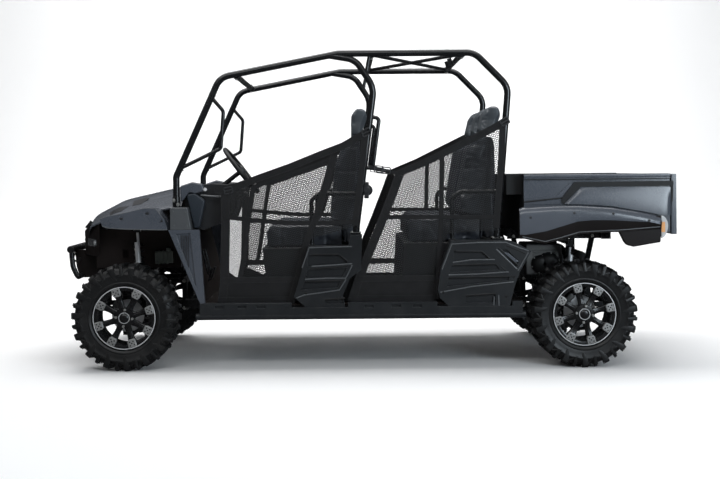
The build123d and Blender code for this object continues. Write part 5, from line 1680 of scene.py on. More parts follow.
def strap(path, width, thick=0.0022, lift=0.0, wave=0.0):
    """Webbing: a thin rounded section carried along a path that lies in the net's plane.

    The path is points of (x, z); wave lets the strap lean in and out along its length."""
    q = np.array(path, float)
    step = np.linalg.norm(np.diff(q, axis=0), axis=1)
    s = np.concatenate([[0], np.cumsum(step)])
    n = max(3, int(s[-1] / 0.012))
    t = np.linspace(0, s[-1], n)
    x, z = np.interp(t, s, q[:, 0]), np.interp(t, s, q[:, 1])
    y = NET_Y - lift - wave * np.sin(pi * t / s[-1]) ** 2
    line = np.stack([x, np.broadcast_to(y, x.shape), z], axis=-1)
    d = np.gradient(line, axis=0)
    d /= np.linalg.norm(d, axis=1)[:, None]
    normal = np.array([0, -1.0, 0])
    side = np.cross(d, normal)
    side /= np.linalg.norm(side, axis=1)[:, None]
    h = thick / 2
    section = np.array(
        [(-1, -h), (-0.5, -h), (0, -h), (0.5, -h), (1, -h), (1, h), (0.5, h), (0, h), (-0.5, h), (-1, h)]
    )
    rings = line[:, None] + side[:, None] * section[None, :, :1] * (width / 2) + normal * section[None, :, 1:]
    v, f = capped(rings)
    uv = np.stack(
        [
            np.broadcast_to(t[:, None], rings.shape[:2]),
            np.broadcast_to(section[None, :, 0] * width / 2, rings.shape[:2]),
        ], axis=-1,
    ).reshape(-1, 2)
    return v, f, uv


# straps over each net: width, lift off the cloth, points (x, z)
FRONT_STRAPS = (
    (0.056, 0.0030, (
        (front(596), 0.410), (front(612), 0.556), (front(618), 0.770), (front(622), 0.950),
        (front(620), 1.100),
    )),
    (0.045, 0.0050, (
        (front(560), 1.104), (front(701), 1.139), (front(852), 1.194), (front(1028), 1.255),
        (front(1229), 1.335), (front(1361), 1.384), (row(60), 1.452), (row(96), 1.478),
    )),
    (0.026, 0.0046, (
        (front(785), 1.126), (front(851), 1.148), (front(1027), 1.211), (front(1203), 1.272),
        (front(1310), 1.316),
    )),
    (0.030, 0.0030, ((front(704), 0.540), (front(728), 0.663), (front(768), 0.944), (front(796), 1.128))),
    (0.028, 0.0056, (
        (front(612), 0.948), (front(774), 0.925), (front(1025), 0.904), (front(1275), 0.902),
        (row(30), 0.910),
    )),
    (0.044, 0.0076, (
        (row(-118), 1.330), (row(-164), 1.172), (row(-228), 0.953), (row(-292), 0.797),
        (row(-350), 0.578), (row(-396), 0.400),
    )),
    (0.044, 0.0036, ((front(575), 0.424), (row(-400), 0.424))),
    (0.040, 0.0042, ((front(590), 0.548), (row(-372), 0.552))),
    (0.040, 0.0030, ((row(78), 1.460), (row(58), 1.270), (row(34), 1.090), (row(8), 0.885))),
)
REAR_STRAPS = (
    (0.055, 0.0034, (
        (row(290), 1.200), (row(242), 1.074), (row(166), 0.881), (row(102), 0.731), (row(32), 0.550),
        (row(-16), 0.410),
    )),
    (0.045, 0.0052, (
        (row(262), 1.200), (rear(-940), 1.291), (rear(-739), 1.390), (rear(-550), 1.482),
        (rear(-449), 1.544),
    )),
    (0.030, 0.0042, ((rear(-864), 1.318), (rear(-874), 0.946), (rear(-882), 0.790), (rear(-904), 0.420))),
    (0.026, 0.0062, ((row(190), 0.937), (rear(-1006), 0.935), (rear(-530), 0.930))),
    (0.040, 0.0044, ((row(28), 0.552), (rear(-915), 0.552))),
    (0.040, 0.0030, ((rear(-484), 1.500), (rear(-494), 1.290), (rear(-514), 1.060), (rear(-530), 0.860))),
    (0.044, 0.0036, ((row(-10), 0.426), (rear(-920), 0.426))),
    (0.020, 0.0064, ((row(100), 1.253), (row(134), 1.242), (row(232), 1.224), (row(290), 1.206))),
)
# the closed lower cloth of each net: points (x, z)
SKIRTS = (
    net_points((
        (front(566), 0.408), (front(590), 0.560), (front(640), 0.600), (front(700), 0.552),
        (row(-372), 0.556), (row(-396), 0.408),
    )),
    net_points(((row(-14), 0.408), (row(34), 0.556), (rear(-914), 0.556), (rear(-920), 0.408))),
)


def stitches(path, offset, lift, pitch=0.006, length=0.0036):
    """Two rows' worth of thread: short stitches laid along a strap, offset from its middle."""
    q = np.array(path, float)
    step = np.linalg.norm(np.diff(q, axis=0), axis=1)
    s = np.concatenate([[0], np.cumsum(step)])
    t = np.arange(0.01, s[-1] - 0.01, pitch)
    x, z = np.interp(t, s, q[:, 0]), np.interp(t, s, q[:, 1])
    x2, z2 = np.interp(t + length, s, q[:, 0]), np.interp(t + length, s, q[:, 1])
    d = np.stack([x2 - x, z2 - z], axis=-1)
    d /= np.linalg.norm(d, axis=1)[:, None]
    n = np.stack([-d[:, 1], d[:, 0]], axis=-1)
    w = 0.0006
    corners = []
    for along_, side_, out in (
        (0, -1, 0), (0, 1, 0), (1, 1, 0), (1, -1, 0), (0, -1, 1), (0, 1, 1), (1, 1, 1), (1, -1, 1),
    ):
        px = np.where(along_, x2, x) + n[:, 0] * (offset + side_ * w)
        pz = np.where(along_, z2, z) + n[:, 1] * (offset + side_ * w)
        corners.append(np.stack([px, np.full(len(t), NET_Y - lift - 0.0014 - out * 0.0006), pz], axis=-1))
    v = np.stack(corners, axis=1).reshape(-1, 3)
    cell = np.array([(0, 3, 2, 1), (4, 5, 6, 7), (0, 1, 5, 4), (1, 2, 6, 5), (2, 3, 7, 6), (3, 0, 4, 7)])
    f = (np.arange(len(t))[:, None, None] * 8 + cell[None]).reshape(-1, 4).tolist()
    return v, f


def buckle(x, z, angle, w=0.052, h=0.040):
    """A ladder-lock buckle: a rounded frame with a middle bar, lying on the strap."""
    a = NET_Y - 0.006
    outer = rounded_box(w, h, 0.007, 5)
    frame_ = carried(
        np.column_stack([outer[:, 0], np.zeros(len(outer)), outer[:, 1]]),
        rounded_box(0.007, 0.007, 0.002, 3), closed=True, up=(0, 1, 0),
    )
    middle_ = carried([(-w / 2, 0, 0), (w / 2, 0, 0)], rounded_box(0.006, 0.006, 0.002, 3))
    return moved(merged([frame_, middle_]), (x, a, z), turn_y(angle))


def let_down(points, drop):
    """A net outline with its foot lowered: corners between 0.45 and 0.61 m move straight down by the drop."""
    q = np.array(points, float)
    q[:, 1] -= drop * ((q[:, 1] > 0.45) & (q[:, 1] < 0.61))
    return q


def make_nets():
    """Side nets: knitted panels, woven straps with stitched edges, closed skirts and buckles."""
    made = []
    for side in ("left", "right"):
        s = 1 if side == "left" else -1
        drop = 0.0 if s > 0 else 0.090
        for label, panel in (("front", let_down(FRONT_PANEL, drop)), ("rear", let_down(REAR_PANEL, drop))):
            v, f, uv = net_sheet(panel, NET_Y + 0.001)
            if s < 0:
                v, f = mirrored((v, f))
                uv = uv * [1, -1]
            obj = piece(f"net_{label}_{side}", (v, f), "net_mesh", uv=uv)
            made.append(obj)
        parts, uvs = [], []
        for width, lift, path in FRONT_STRAPS + REAR_STRAPS:
            v, f, uv = strap(path, width, lift=lift)
            parts.append((v, f))
            uvs.append(uv)
        webs, threads = merged(parts), merged(
            [
                stitches(path, e * (width / 2 - 0.004), lift)
                for width, lift, path in FRONT_STRAPS + REAR_STRAPS if width > 0.03 for e in (-1, 1)
            ]
        )
        buckles = merged([
            buckle(front(640), 1.112, -0.2), buckle(row(160), 1.237, 0.1), buckle(row(206), 1.228, 0.1),
            buckle(rear(-470), 1.528, -0.5), buckle(row(84), 1.468, -0.4),
        ])
        if s < 0:
            webs, threads, buckles = mirrored(webs), mirrored(threads), mirrored(buckles)
        nodes = ("side_nets_front", "side_nets_rear") if s > 0 else ()
        made.append(piece(f"net_straps_{side}", webs, "webbing_black", replaces=nodes, uv=np.vstack(uvs)))
        made.append(piece(f"net_stitching_{side}", threads, "stitch", slot="net_fabric"))
        made.append(piece(f"net_buckles_{side}", buckles, "trim_black"))
        skirt_parts, skirt_uv = [], []
        for points in SKIRTS:
            v, f, uv = net_sheet(let_down(points, drop), NET_Y + 0.0008, 0.0015)
            skirt_parts.append((v, f))
            skirt_uv.append(uv)
        skirts = merged(skirt_parts)
        if s < 0:
            skirts = mirrored(skirts)
        made.append(piece(f"net_skirts_{side}", skirts, "webbing_black", uv=np.vstack(skirt_uv)))
    return made


# ---------------- cab fittings ----------------

def make_wheel():
    """Steering wheel: a grip ring with a stitched seam line, three pressed spokes and a padded hub."""
    hub_x, hub_z, slope = front(693), 1.235, radians(37.6)
    m = turn_y(pi / 2 - slope)
    a = np.linspace(0, 2 * pi, 96, endpoint=False)
    r = 0.175 - 0.004 * np.clip(np.cos(a), 0, 1) ** 6
    ring_path = np.stack([r * np.cos(a), r * np.sin(a), 0 * a], axis=-1)
    thick = 1 + 0.07 * np.clip(np.cos(3 * a + pi), 0, 1) ** 3
    ring = carried(ring_path, circle(0.0135, 20), closed=True, up=(0, 0, 1), scale=thick)
    spokes = []
    for deg in (90, 210, 330):
        c, s = cos(radians(deg)), sin(radians(deg))
        path = [(c * k, s * k, z) for k, z in ((0.026, 0.010), (0.075, 0.004), (0.130, 0.0), (0.168, 0.0))]
        spokes.append(
            carried(
                path, rounded_box(0.030, 0.009, 0.003, 4), up=(0, 0, 1),
                scale=np.array([1.15, 1.0, 0.85, 0.8]),
            )
        )
    pad = moved(
        disc_lathe(
            [
                (0, 0.024), (0.022, 0.024), (0.032, 0.020), (0.040, 0.008), (0.041, -0.008), (0.036, -0.018),
                (0, -0.018),
            ], 48,
        ), turn=turn_x(pi / 2),
    )
    dots = [
        bolt((0.030 * cos(k * pi / 3), 0.030 * sin(k * pi / 3), 0.019), (0, 0, 1), 0.003, 0.004)
        for k in range(6)
    ]
    place = (hub_x, -0.340, hub_z)
    seam = carried(
        ring_path + [0, 0, 0.0134], circle(0.0009, 6), closed=True, up=(0, 0, 1),
        scale=1 + 0.4 * np.sin(40 * a),
    )
    return [
        piece(
            "steering_grip", moved(ring, place, m), "boot_rubber", "steering_wheel",
            replaces="steering_wheel",
        ),
        piece("steering_spokes", moved(merged(spokes), place, m), "dark_steel", "steering_wheel"),
        piece("steering_pad", moved(pad, place, m), "trim_black", "steering_wheel"),
        piece("steering_dots", moved(merged(dots), place, m), "zinc", "steering_wheel"),
        piece("steering_seam", moved(seam, place, m), "stitch", "steering_wheel"),
    ]


def make_dash():
    """Firewall, and dashboard with its gauge, screen, vents, switches, grab handle, lever and pedals."""
    made = make_panels(("dash_moulding", "firewall_sheet"))
    hi = high("dashboard")
    face_x = hi[0] - 0.002
    parts, dark, knobs = [], [], []
    pod = carried(
        [(hi[0] - 0.150, -0.340, 1.098), (hi[0] - 0.020, -0.340, 1.104)], rounded_box(0.210, 0.075, 0.030, 6),
        up=(0, 0, 1),
    )
    parts.append(pod)
    dark.append(
        moved(
            disc_lathe([(0, 0.004), (0.040, 0.004), (0.044, 0), (0, 0)], 40), (hi[0] - 0.020, -0.340, 1.104),
            frame_to((0, 1, 0)) @ turn_z(-pi / 2),
        )
    )
    for y in (-0.10, 0.10, 0.45):
        ring = rounded_box(0.110, 0.060, 0.012, 5)
        parts.append(
            carried(
                np.column_stack([np.full(len(ring), face_x), y + ring[:, 0], 1.112 + ring[:, 1]]),
                rounded_box(0.008, 0.010, 0.003, 3), closed=True, up=(1, 0, 0),
            )
        )
        for k in range(5):
            z = 1.090 + k * 0.011
            parts.append(block((face_x - 0.006, face_x + 0.003), (y - 0.050, y + 0.050), (z, z + 0.003)))
    screen = block((face_x - 0.010, face_x + 0.004), (-0.085, 0.085), (0.980, 1.070))
    for k in range(6):
        y = -0.125 + k * 0.05
        knobs.append(block((hi[0] - 0.040, hi[0] - 0.022), (y - 0.016, y + 0.016), (0.925, 0.952)))
    grab = tube(
        [
            (hi[0] - 0.008, 0.22, 1.100), (hi[0] + 0.020, 0.22, 1.100), (hi[0] + 0.020, 0.56, 1.100),
            (hi[0] - 0.008, 0.56, 1.100),
        ], [0.018, 0.018], 0.0105, 18,
    )
    made += [
        piece("dash_trim", merged(parts), "trim_black", bevel=0.0008),
        piece("gauge_face", merged(dark), "screen_glass"),
        piece("dash_screen", screen, "screen_glass", bevel=0.002),
        piece("dash_switches", merged(knobs), "trim_black", bevel=0.002),
        piece("dash_grab_handle", grab, "boot_rubber"),
    ]
    lever = [rod((hi[0] - 0.040, -0.130, 1.030), (hi[0] + 0.060, -0.130, 1.075), 0.006, 14)]
    ball = moved(
        disc_lathe(
            [(0, 0.020), (0.011, 0.018), (0.018, 0.008), (0.018, -0.008), (0.011, -0.018), (0, -0.020)], 28,
        ), (hi[0] + 0.062, -0.130, 1.076),
    )
    pedals = []
    for y in (-0.27, -0.40):
        pedals.append(
            carried(
                [(front(480), y, 0.520), (front(505), y, 0.600)], rounded_box(0.070, 0.010, 0.003, 4),
                up=(1, 0, 0),
            )
        )
        pedals.append(rod((front(476), y, 0.560), (front(440), y, 0.720), 0.007, 14))
    made += [
        piece("gear_lever", merged(lever + pedals), "frame_black"),
        piece("gear_knob", ball, "trim_black"),
    ]
    return made


# ---------------- nose, front end ----------------

def make_nose():
    """Nose moulding with its grille mesh, headlamps and bowls, and the bumper with plates and hook."""
    made = make_panels(("nose_moulding",))
    lo = low("nose_panel")
    mesh_rods = []
    x = lo[0] + 0.050
    z0, z1 = lo[2] + 0.006, lo[2] + 0.122
    for k in range(29):
        y = -0.205 + k * 0.41 / 28
        mesh_rods.append(((x, y - 0.02, z0), (x, y + 0.02, z1)))
        mesh_rods.append(((x + 0.002, y + 0.02, z0), (x + 0.002, y - 0.02, z1)))
    grille = merged([rod(p, q, 0.0016, 6) for p, q in mesh_rods])
    made += [
        piece("grille_mesh", grille, "dark_steel", slot="trim_black"),
        softened(
            "headlamp_lenses", "headlamps", "trim_black", 0.003,
            zones=(("smoked_lens", lambda p, n: n[:, 0] < -0.35),), slot="lamp_clear",
        ),
    ]
    lamp_low = low("headlamps")
    bowls = []
    for y in (-0.335, -0.392):
        bowl = lathe(
            [(0.004, 0.016), (0.014, 0.012), (0.022, 0.0), (0.0205, 0.0), (0.013, 0.010), (0.004, 0.014)], 32,
        )
        bowls.append(moved(bowl, (lamp_low[0] + 0.035 + abs(y + 0.335) * 0.55, y, 0.774), turn_z(-pi / 2)))
    made.append(piece("headlamp_bowls", pair(merged(bowls)), "bright_metal", slot="lamp_clear"))
    y = -0.283
    tip = front(-444)
    legs = tube(
        [(tip, y, 0.724), (front(-434), y, 0.610), (front(-404), y, 0.545), (front(-397), y, 0.545)],
        [0.10, 0.018], 0.0165, 24,
    )
    arms = tube([(front(-400), -0.165, 0.545), (front(-318), -0.165, 0.545)], [], 0.018, 24)
    cross = [
        carried([(tip, -0.300, 0.724), (tip, 0.300, 0.724)], circle(0.0235, 32)),
        carried([(front(-397), -0.285, 0.545), (front(-397), 0.285, 0.545)], circle(0.0185, 28)),
    ]
    plates = slab(
        [
            (front(a), b)
            for a, b in (
                (-440, 0.716), (-290, 0.716), (-268, 0.640), (-288, 0.540), (-384, 0.530), (-412, 0.540),
                (-432, 0.600), (-440, 0.680),
            )
        ], -0.190, -0.1815,
    )
    hook = tube(
        [
            (front(-430), -0.225, 0.702), (front(-448), -0.225, 0.655), (front(-412), -0.225, 0.632),
            (front(-398), -0.225, 0.664),
        ], [0.018, 0.016], 0.0058, 14,
    )
    cap = disc_lathe([(0, -0.006), (0.020, -0.006), (0.0232, -0.002), (0.0232, 0.004), (0, 0.004)], 36)
    made += [
        piece(
            "bumper_bars", merged([pair(merged([legs, arms])), *cross]), "frame_black",
            replaces="front_bumper",
        ),
        piece("bumper_plates", pair(plates), "brown_black", slot="frame_black", bevel=0.002),
        piece("bumper_hook", hook, "dark_steel"),
        piece("bumper_end_caps", pair(moved(cap, (tip, -0.3035, 0.724))), "boot_rubber"),
    ]
    return made


def make_fenders():
    """Front fenders, cowls and cage foot brackets with edge lines in lighter paint as painted highlights,
    recess ribs, screws and bolts.
    """
    made = make_panels(("fender_mouldings", "cowl_mouldings", "cage_foot_brackets"))
    y = float(low("front_fenders")[1])
    # the edge line and the lower lip in lighter bracket paint are painted highlights along the fender's top
    # and lower edges
    edge = [
        (front(-153), 0.9405), (front(-97), 0.9585), (front(-3), 0.9765), (front(122), 1.0055),
        (front(191), 1.0055), (front(246), 0.9365),
    ]
    line = carried([(a, y + 0.0035, b) for a, b in edge], rounded_box(0.004, 0.007, 0.0015, 3))
    lower = [
        (front(-137), 0.8985), (front(-97), 0.8855), (front(3), 0.8785), (front(243), 0.8715),
        (front(266), 0.8735),
    ]
    lip = carried([(a, y + 0.004, b) for a, b in lower], rounded_box(0.006, 0.010, 0.002, 3))
    screws = []
    for x, z in ((-19, 943), (143, 974), (235, 925)):
        dimple = disc_lathe(
            [(0, -0.0022), (0.008, -0.0022), (0.0110, -0.0008), (0.0115, 0.001), (0, 0.001)], 28,
        )
        screws.append(moved(dimple, (front(x), y + 0.0046, z * MM), np.diag([1.0, 1.0, 0.62])))
    cy = float(low("cowl_panels")[1])
    ribs = []
    for k in range(4):
        x = front(352 + k * 14)
        ribs.append(block((x, x + 0.004), (cy + 0.004, cy + 0.013), (0.640 - k * 0.02, 0.835)))
    bolts = [
        bolt((front(x), float(low("cage_feet")[1]), z), (0, -1, 0), 0.0065, 0.005)
        for x, z in ((300, 0.988), (376, 0.982), (306, 0.898), (388, 0.893))
    ]
    feet = [
        bolt((front(x), -CAGE_Y - 0.021, z), (0, -1, 0), 0.0095, 0.009)
        for x, z in ((300, 1.052), (322, 1.026))
    ]
    collar = carried([(front(311), -CAGE_Y, 1.008), (front(311), -CAGE_Y, 1.072)], circle(0.0245, 28))
    cap = slab(
        [
            (front(a), b * MM)
            for a, b in (
                (336, 1142), (411, 1166), (477, 1153), (486, 1109), (429, 1094), (392, 1104), (360, 1060),
                (341, 1041),
            )
        ], -0.664, -0.6065,
    )
    post = slab([(front(a), b * MM) for a, b in (
        (371, 1091), (428, 1097), (468, 1068), (490, 1046), (472, 958), (455, 878), (420, 871), (389, 1015),
    )], -0.652, -0.6055)
    strut = tube(
        [(front(464), -0.645, 1.084), (front(540), -0.652, 1.074), (front(609), -0.645, 1.073)], [0.3],
        0.0055, 14,
    )
    screw = bolt((front(494), -0.668, 1.119), (0, -1, 0), 0.0085, 0.007)
    tank = merged(
        [
            carried(
                [(front(118), -0.316, 0.668), (front(236), -0.316, 0.672)],
                rounded_box(0.040, 0.080, 0.014, 6), up=(0, 0, 1),
            ),
            *[
                carried(
                    [(front(x), -0.318, 0.669), (front(x + 7), -0.318, 0.669)],
                    rounded_box(0.047, 0.088, 0.014, 6), up=(0, 0, 1),
                )
                for x in (138, 166, 194)
            ], carried([(front(205), -0.316, 0.708), (front(205), -0.316, 0.730)], circle(0.016, 24)),
        ]
    )
    return made + [
        piece("cowl_caps", pair(cap), "body_plastic", bevel=0.010, segments=4),
        piece("door_posts", pair(post), "post_plastic", bevel=0.012, segments=4),
        piece("door_post_struts", pair(merged([strut])), "bracket_paint"),
        piece("net_anchor_bolts", pair(screw), "bright_metal"),
        piece("coolant_tank", tank, "green_cast"),
        piece("fender_edge_highlights", pair(merged([line, lip])), "bracket_paint", slot="body_grey"),
        piece("fender_screws", pair(merged(screws)), "trim_black"),
        piece("cowl_ribs", pair(merged(ribs)), "trim_black", bevel=0.001),
        piece("cage_foot_front_bolts", pair(merged(bolts)), "bracket_paint", slot="bare_steel"),
        piece("cage_foot_bolts_top", pair(merged(feet)), "zinc"),
        piece("cage_foot_collars", pair(collar), "frame_black", bevel=0.002),
    ]


# points (x from the seat row for the front box and from the rear axle for the rear box, z in millimetres):
# lighter ridges are painted highlight lines, dark strips are painted shadow lines of the recesses
FRONT_BOX_HIGHLIGHT_RIDGES = (
    ((-322, 629), (-277, 753), (-130, 756), (-12, 758)), ((-263, 637), (-130, 644), (-12, 652)),
    ((-305, 557), (-176, 563), (-52, 562), (-10, 644)), ((-358, 442), (-309, 460), (-92, 489), (-50, 555)),
)
FRONT_BOX_SHADOW_STRIPS = (
    ((-263, 710), (-94, 710), (-41, 668)), ((-272, 621), (-122, 629), (-42, 637)), ((-300, 542), (-58, 549)),
    ((-92, 505), (-74, 545)), ((-182, 430), (-58, 438)),
)
REAR_BOX_HIGHLIGHT_RIDGES = (
    ((-876, 612), (-814, 768), (-653, 776), (-478, 776), (-423, 752), (-338, 722)),
    ((-809, 654), (-689, 670), (-547, 670)), ((-836, 577), (-654, 581), (-464, 593)),
    ((-888, 470), (-691, 504), (-432, 531)), ((-340, 712), (-405, 600)), ((-538, 733), (-412, 610)),
    ((-554, 441), (-557, 385)), ((-527, 450), (-525, 385)),
)
REAR_BOX_SHADOW_STRIPS = (
    ((-791, 722), (-627, 721), (-578, 676)), ((-805, 637), (-539, 642)), ((-836, 561), (-442, 564)),
    ((-512, 627), (-481, 600)), ((-731, 447), (-545, 459)), ((-525, 742), (-400, 628)),
    ((-476, 757), (-358, 706)),
)


def make_side_boxes():
    """Side boxes with their ridges in lighter paint as painted highlights, dark strips as painted shadow
    lines, and scoop, the sills, the floor and the seat bases.
    """
    made = make_panels(("side_box_mouldings", "sill_panels", "floor_sheet", "seat_base_boxes"))
    y = float(low("side_boxes")[1])
    # ridges in lighter bracket paint are painted highlights; the dark boot rubber strips are painted shadow
    # under the ridges and at the recess tops
    rims = [
        carried(
            [(at(a), y + 0.004, b * MM) for a, b in points], rounded_box(0.0075, 0.0135, 0.0025, 3),
            up=(0, -1, 0),
        )
        for at, lines in ((row, FRONT_BOX_HIGHLIGHT_RIDGES), (rear, REAR_BOX_HIGHLIGHT_RIDGES)) for points in lines
    ]
    shadow_strips = [
        carried(
            [(at(a), y + 0.0045, b * MM) for a, b in points], rounded_box(0.013, 0.0105, 0.004, 3),
            up=(0, -1, 0),
        )
        for at, lines in ((row, FRONT_BOX_SHADOW_STRIPS), (rear, REAR_BOX_SHADOW_STRIPS)) for points in lines
    ]
    scoop = slab(
        [(rear(a), b * MM) for a, b in ((-500, 717), (-462, 708), (-398, 655), (-424, 651))], y - 0.001,
        y + 0.0125,
    )
    screws = []
    for x, z in (
        (row(-300), 0.470), (row(-100), 0.430), (rear(-870), 0.470), (rear(-480), 0.440), (rear(-430), 0.560),
    ):
        screws.append(
            moved(
                disc_lathe([(0, -0.003), (0.006, -0.0028), (0.0085, 0), (0.0085, 0.001), (0, 0.001)], 24),
                (x, y, z),
            )
        )
    return made + [
        piece("side_box_rims", pair(merged(rims)), "bracket_paint"),
        piece("side_box_shadow_strips", pair(merged(shadow_strips)), "boot_rubber"),
        piece("side_box_scoops", pair(scoop), "body_plastic", bevel=0.003),
        piece("side_box_screws", pair(merged(screws)), "boot_rubber"),
    ]


def make_frame():
    """Chassis rails, crossmembers, the two box frames, the hitch socket, bolts and a coolant pipe."""
    made = make_panels(("rails", "crossmembers", "front_box_frame", "rear_box_frame", "hitch_socket"))
    bolts = []
    for x in (front(303) - 0.016, rear(-302) + 0.016):
        for z in (0.318, 0.500):
            bolts.append(bolt((x, -0.182, z), (0, -1, 0), 0.009, 0.009))
    for x in (rear(-374), rear(143)):
        bolts.append(bolt((x, -0.3502, 0.790), (0, -1, 0), 0.008, 0.008))
    hose = tube(
        [
            (rear(-330), -0.120, 0.700), (rear(-380), -0.300, 0.560), (rear(-420), -0.320, 0.440),
            (row(400), -0.318, 0.360), (row(-300), -0.318, 0.360),
        ], [0.05, 0.05, 0.06], 0.009, 14,
    )
    return made + [
        piece("frame_bolts", pair(merged(bolts)), "zinc"),
        piece("coolant_hose", hose, "boot_rubber"),
    ]


# ---------------- cargo bed ----------------

def make_bed():
    """Bed moulding with its side rail, dark strips painted as the shadow in its channels, and panels, ribs on
    floor and walls, and tie-down rings.
    """
    made = make_panels(("bed_moulding",))
    top = high("bed_box")[2]
    side_y = -0.728
    lines, ribs, cleats = [], [], []
    rail = carried(
        [(rear(-362), side_y + 0.001, top - 0.012), (rear(546), side_y + 0.001, top - 0.012)],
        rounded_box(0.018, 0.020, 0.006, 5), up=(0, 0, 1),
    )
    # dark boot rubber strips standing proud of the side: painted shadow of the recessed channels
    lines.append(
        slab(
            [
                (rear(a), b)
                for a, b in (
                    (-130, 1.046), (-48, 1.146), (566, 1.149), (561, 1.020), (552, 1.020), (552, 1.117),
                    (-8, 1.117), (-113, 1.014), (-130, 1.014),
                )
            ], side_y - 0.0075, side_y + 0.001,
        )
    )
    for depth, wide, points in (
        (0.0055, 0.009, ((-364, 1.024), (-125, 1.048))), (0.0055, 0.005, ((-362, 1.163), (556, 1.165))),
    ):
        lines.append(
            carried([(rear(a), side_y - depth, b) for a, b in points], rounded_box(wide, 0.004, 0.0015, 3))
        )
    floor_z = 0.846
    for k in range(15):
        y = -0.56 + k * 0.08
        ribs.append(
            carried(
                [(rear(-300), y, floor_z), (rear(535), y, floor_z)],
                np.array([(-0.018, 0), (-0.012, 0.004), (0.012, 0.004), (0.018, 0)])[::-1], up=(0, 0, 1),
            )
        )
    for k in range(6):
        x = rear(-260) + k * 0.14
        ribs.append(block((x - 0.010, x + 0.010), (-0.6605, -0.654), (0.90, 1.14)))
    for x in (rear(-280), rear(460)):
        ring = carried(
            np.column_stack(
                [
                    0.020 * np.cos(np.linspace(0, 2 * pi, 32, endpoint=False)), np.zeros(32),
                    0.020 * np.sin(np.linspace(0, 2 * pi, 32, endpoint=False)),
                ]
            ), circle(0.0035, 10), closed=True, up=(0, 1, 0),
        )
        cleats.append(moved(ring, (x, -0.650, 1.080)))
        cleats.append(block((x - 0.012, x + 0.012), (-0.6605, -0.650), (1.092, 1.108)))
    return made + [
        piece("bed_side_lines", pair(rail), "body_plastic", "cargo_bed"),
        piece("bed_side_channel_shadows", pair(merged(lines)), "boot_rubber", "cargo_bed"),
        piece("bed_side_panels", pair(crowned_panel()), "body_plastic", "cargo_bed", angle=50),
        piece("bed_floor_ribs", merged(ribs), "bed_liner", "cargo_bed"),
        piece("bed_wall_cleats", pair(merged(cleats)), "zinc", "cargo_bed"),
    ]


def crowned_panel():
    """The bed side's raised panel: straight between its ends, and leaning in towards its top.

    Across it the height share v runs from the flare's top line to the channel above, and the
    surface stands out by a depth times (1 - v to the power 2.2), eased to nothing at both ends."""
    u, v = np.linspace(0, 1, 48)[:, None], np.linspace(0, 1, 15)[None]
    left = rear(-116) + v * 0.108
    x = left + (rear(546) - left) * u
    foot = np.interp(
        x, [rear(a) for a in (-118, 0, 98, 186, 345, 500)], (1.011, 1.008, 1.003, 0.994, 0.966, 0.936),
    )
    z = foot + (1.110 - foot) * v
    ends = 1 - np.abs(2 * u - 1) ** 24
    y = -0.7405 - 0.014 * (1 - v ** 2.2) * ends
    back = np.stack([x[:, [-1, 0]], np.full((48, 2), -0.727), z[:, [-1, 0]]], axis=-1)
    return capped(np.concatenate([np.stack([x, y, z], axis=-1), back], axis=1))


FLARE_TOP = (
    (-397, 0.984), (-369, 0.993), (-183, 1.003), (-21, 1.004), (180, 0.990), (345, 0.962), (478, 0.932),
)
FLARE_BELLY = (
    (-397, 0.826), (-366, 0.823), (-235, 0.845), (-135, 0.875), (-42, 0.903), (58, 0.911), (174, 0.909),
    (478, 0.892),
)
FLARE_FOOT = ((-397, 0.806), (-243, 0.767), (-150, 0.791), (-27, 0.827), (220, 0.837), (478, 0.854))
FLARE_ARCH = (
    (-397, 0.70), (-330, 0.74), (-300, 0.847), (-150, 0.923), (98, 0.931), (330, 0.901), (345, 0.74),
    (478, 0.70),
)


def flare_shell():
    """A flare as rings across it, one for each place along it.

    A ring goes from the bed's side out over a quarter ellipse, down the outer face to the belly
    line, in under it to the foot, up inside the outer wall, across under the top and down by the bed."""
    at = np.linspace(-397, 478, 90)
    top, belly, foot, arch = (
        np.interp(at, *np.array(line).T) for line in (FLARE_TOP, FLARE_BELLY, FLARE_FOOT, FLARE_ARCH)
    )
    arch = np.clip(arch, foot + 0.001, top - 0.016)
    q = np.linspace(0, pi / 2, 8)
    outer = float(low("bed_fenders")[1])
    inner = -0.7285
    ys = [inner] + list(outer + 0.040 - 0.040 * np.sin(q)) + [
        outer - 0.0, outer + 0.001, outer + 0.011, outer + 0.014, outer + 0.016, -0.742, -0.742, inner,
    ]
    zs = [top] + [top - 0.052 * (1 - np.cos(a)) for a in q] + [
        belly + 0.010, belly, foot + 0.012, foot, arch, arch, foot, foot,
    ]
    x = np.broadcast_to(rear(0) + at[:, None] * MM, (len(at), len(ys)))
    y = np.broadcast_to(np.array(ys)[None], x.shape)
    return capped(np.stack([x, y, np.stack(zs, axis=1)], axis=-1))


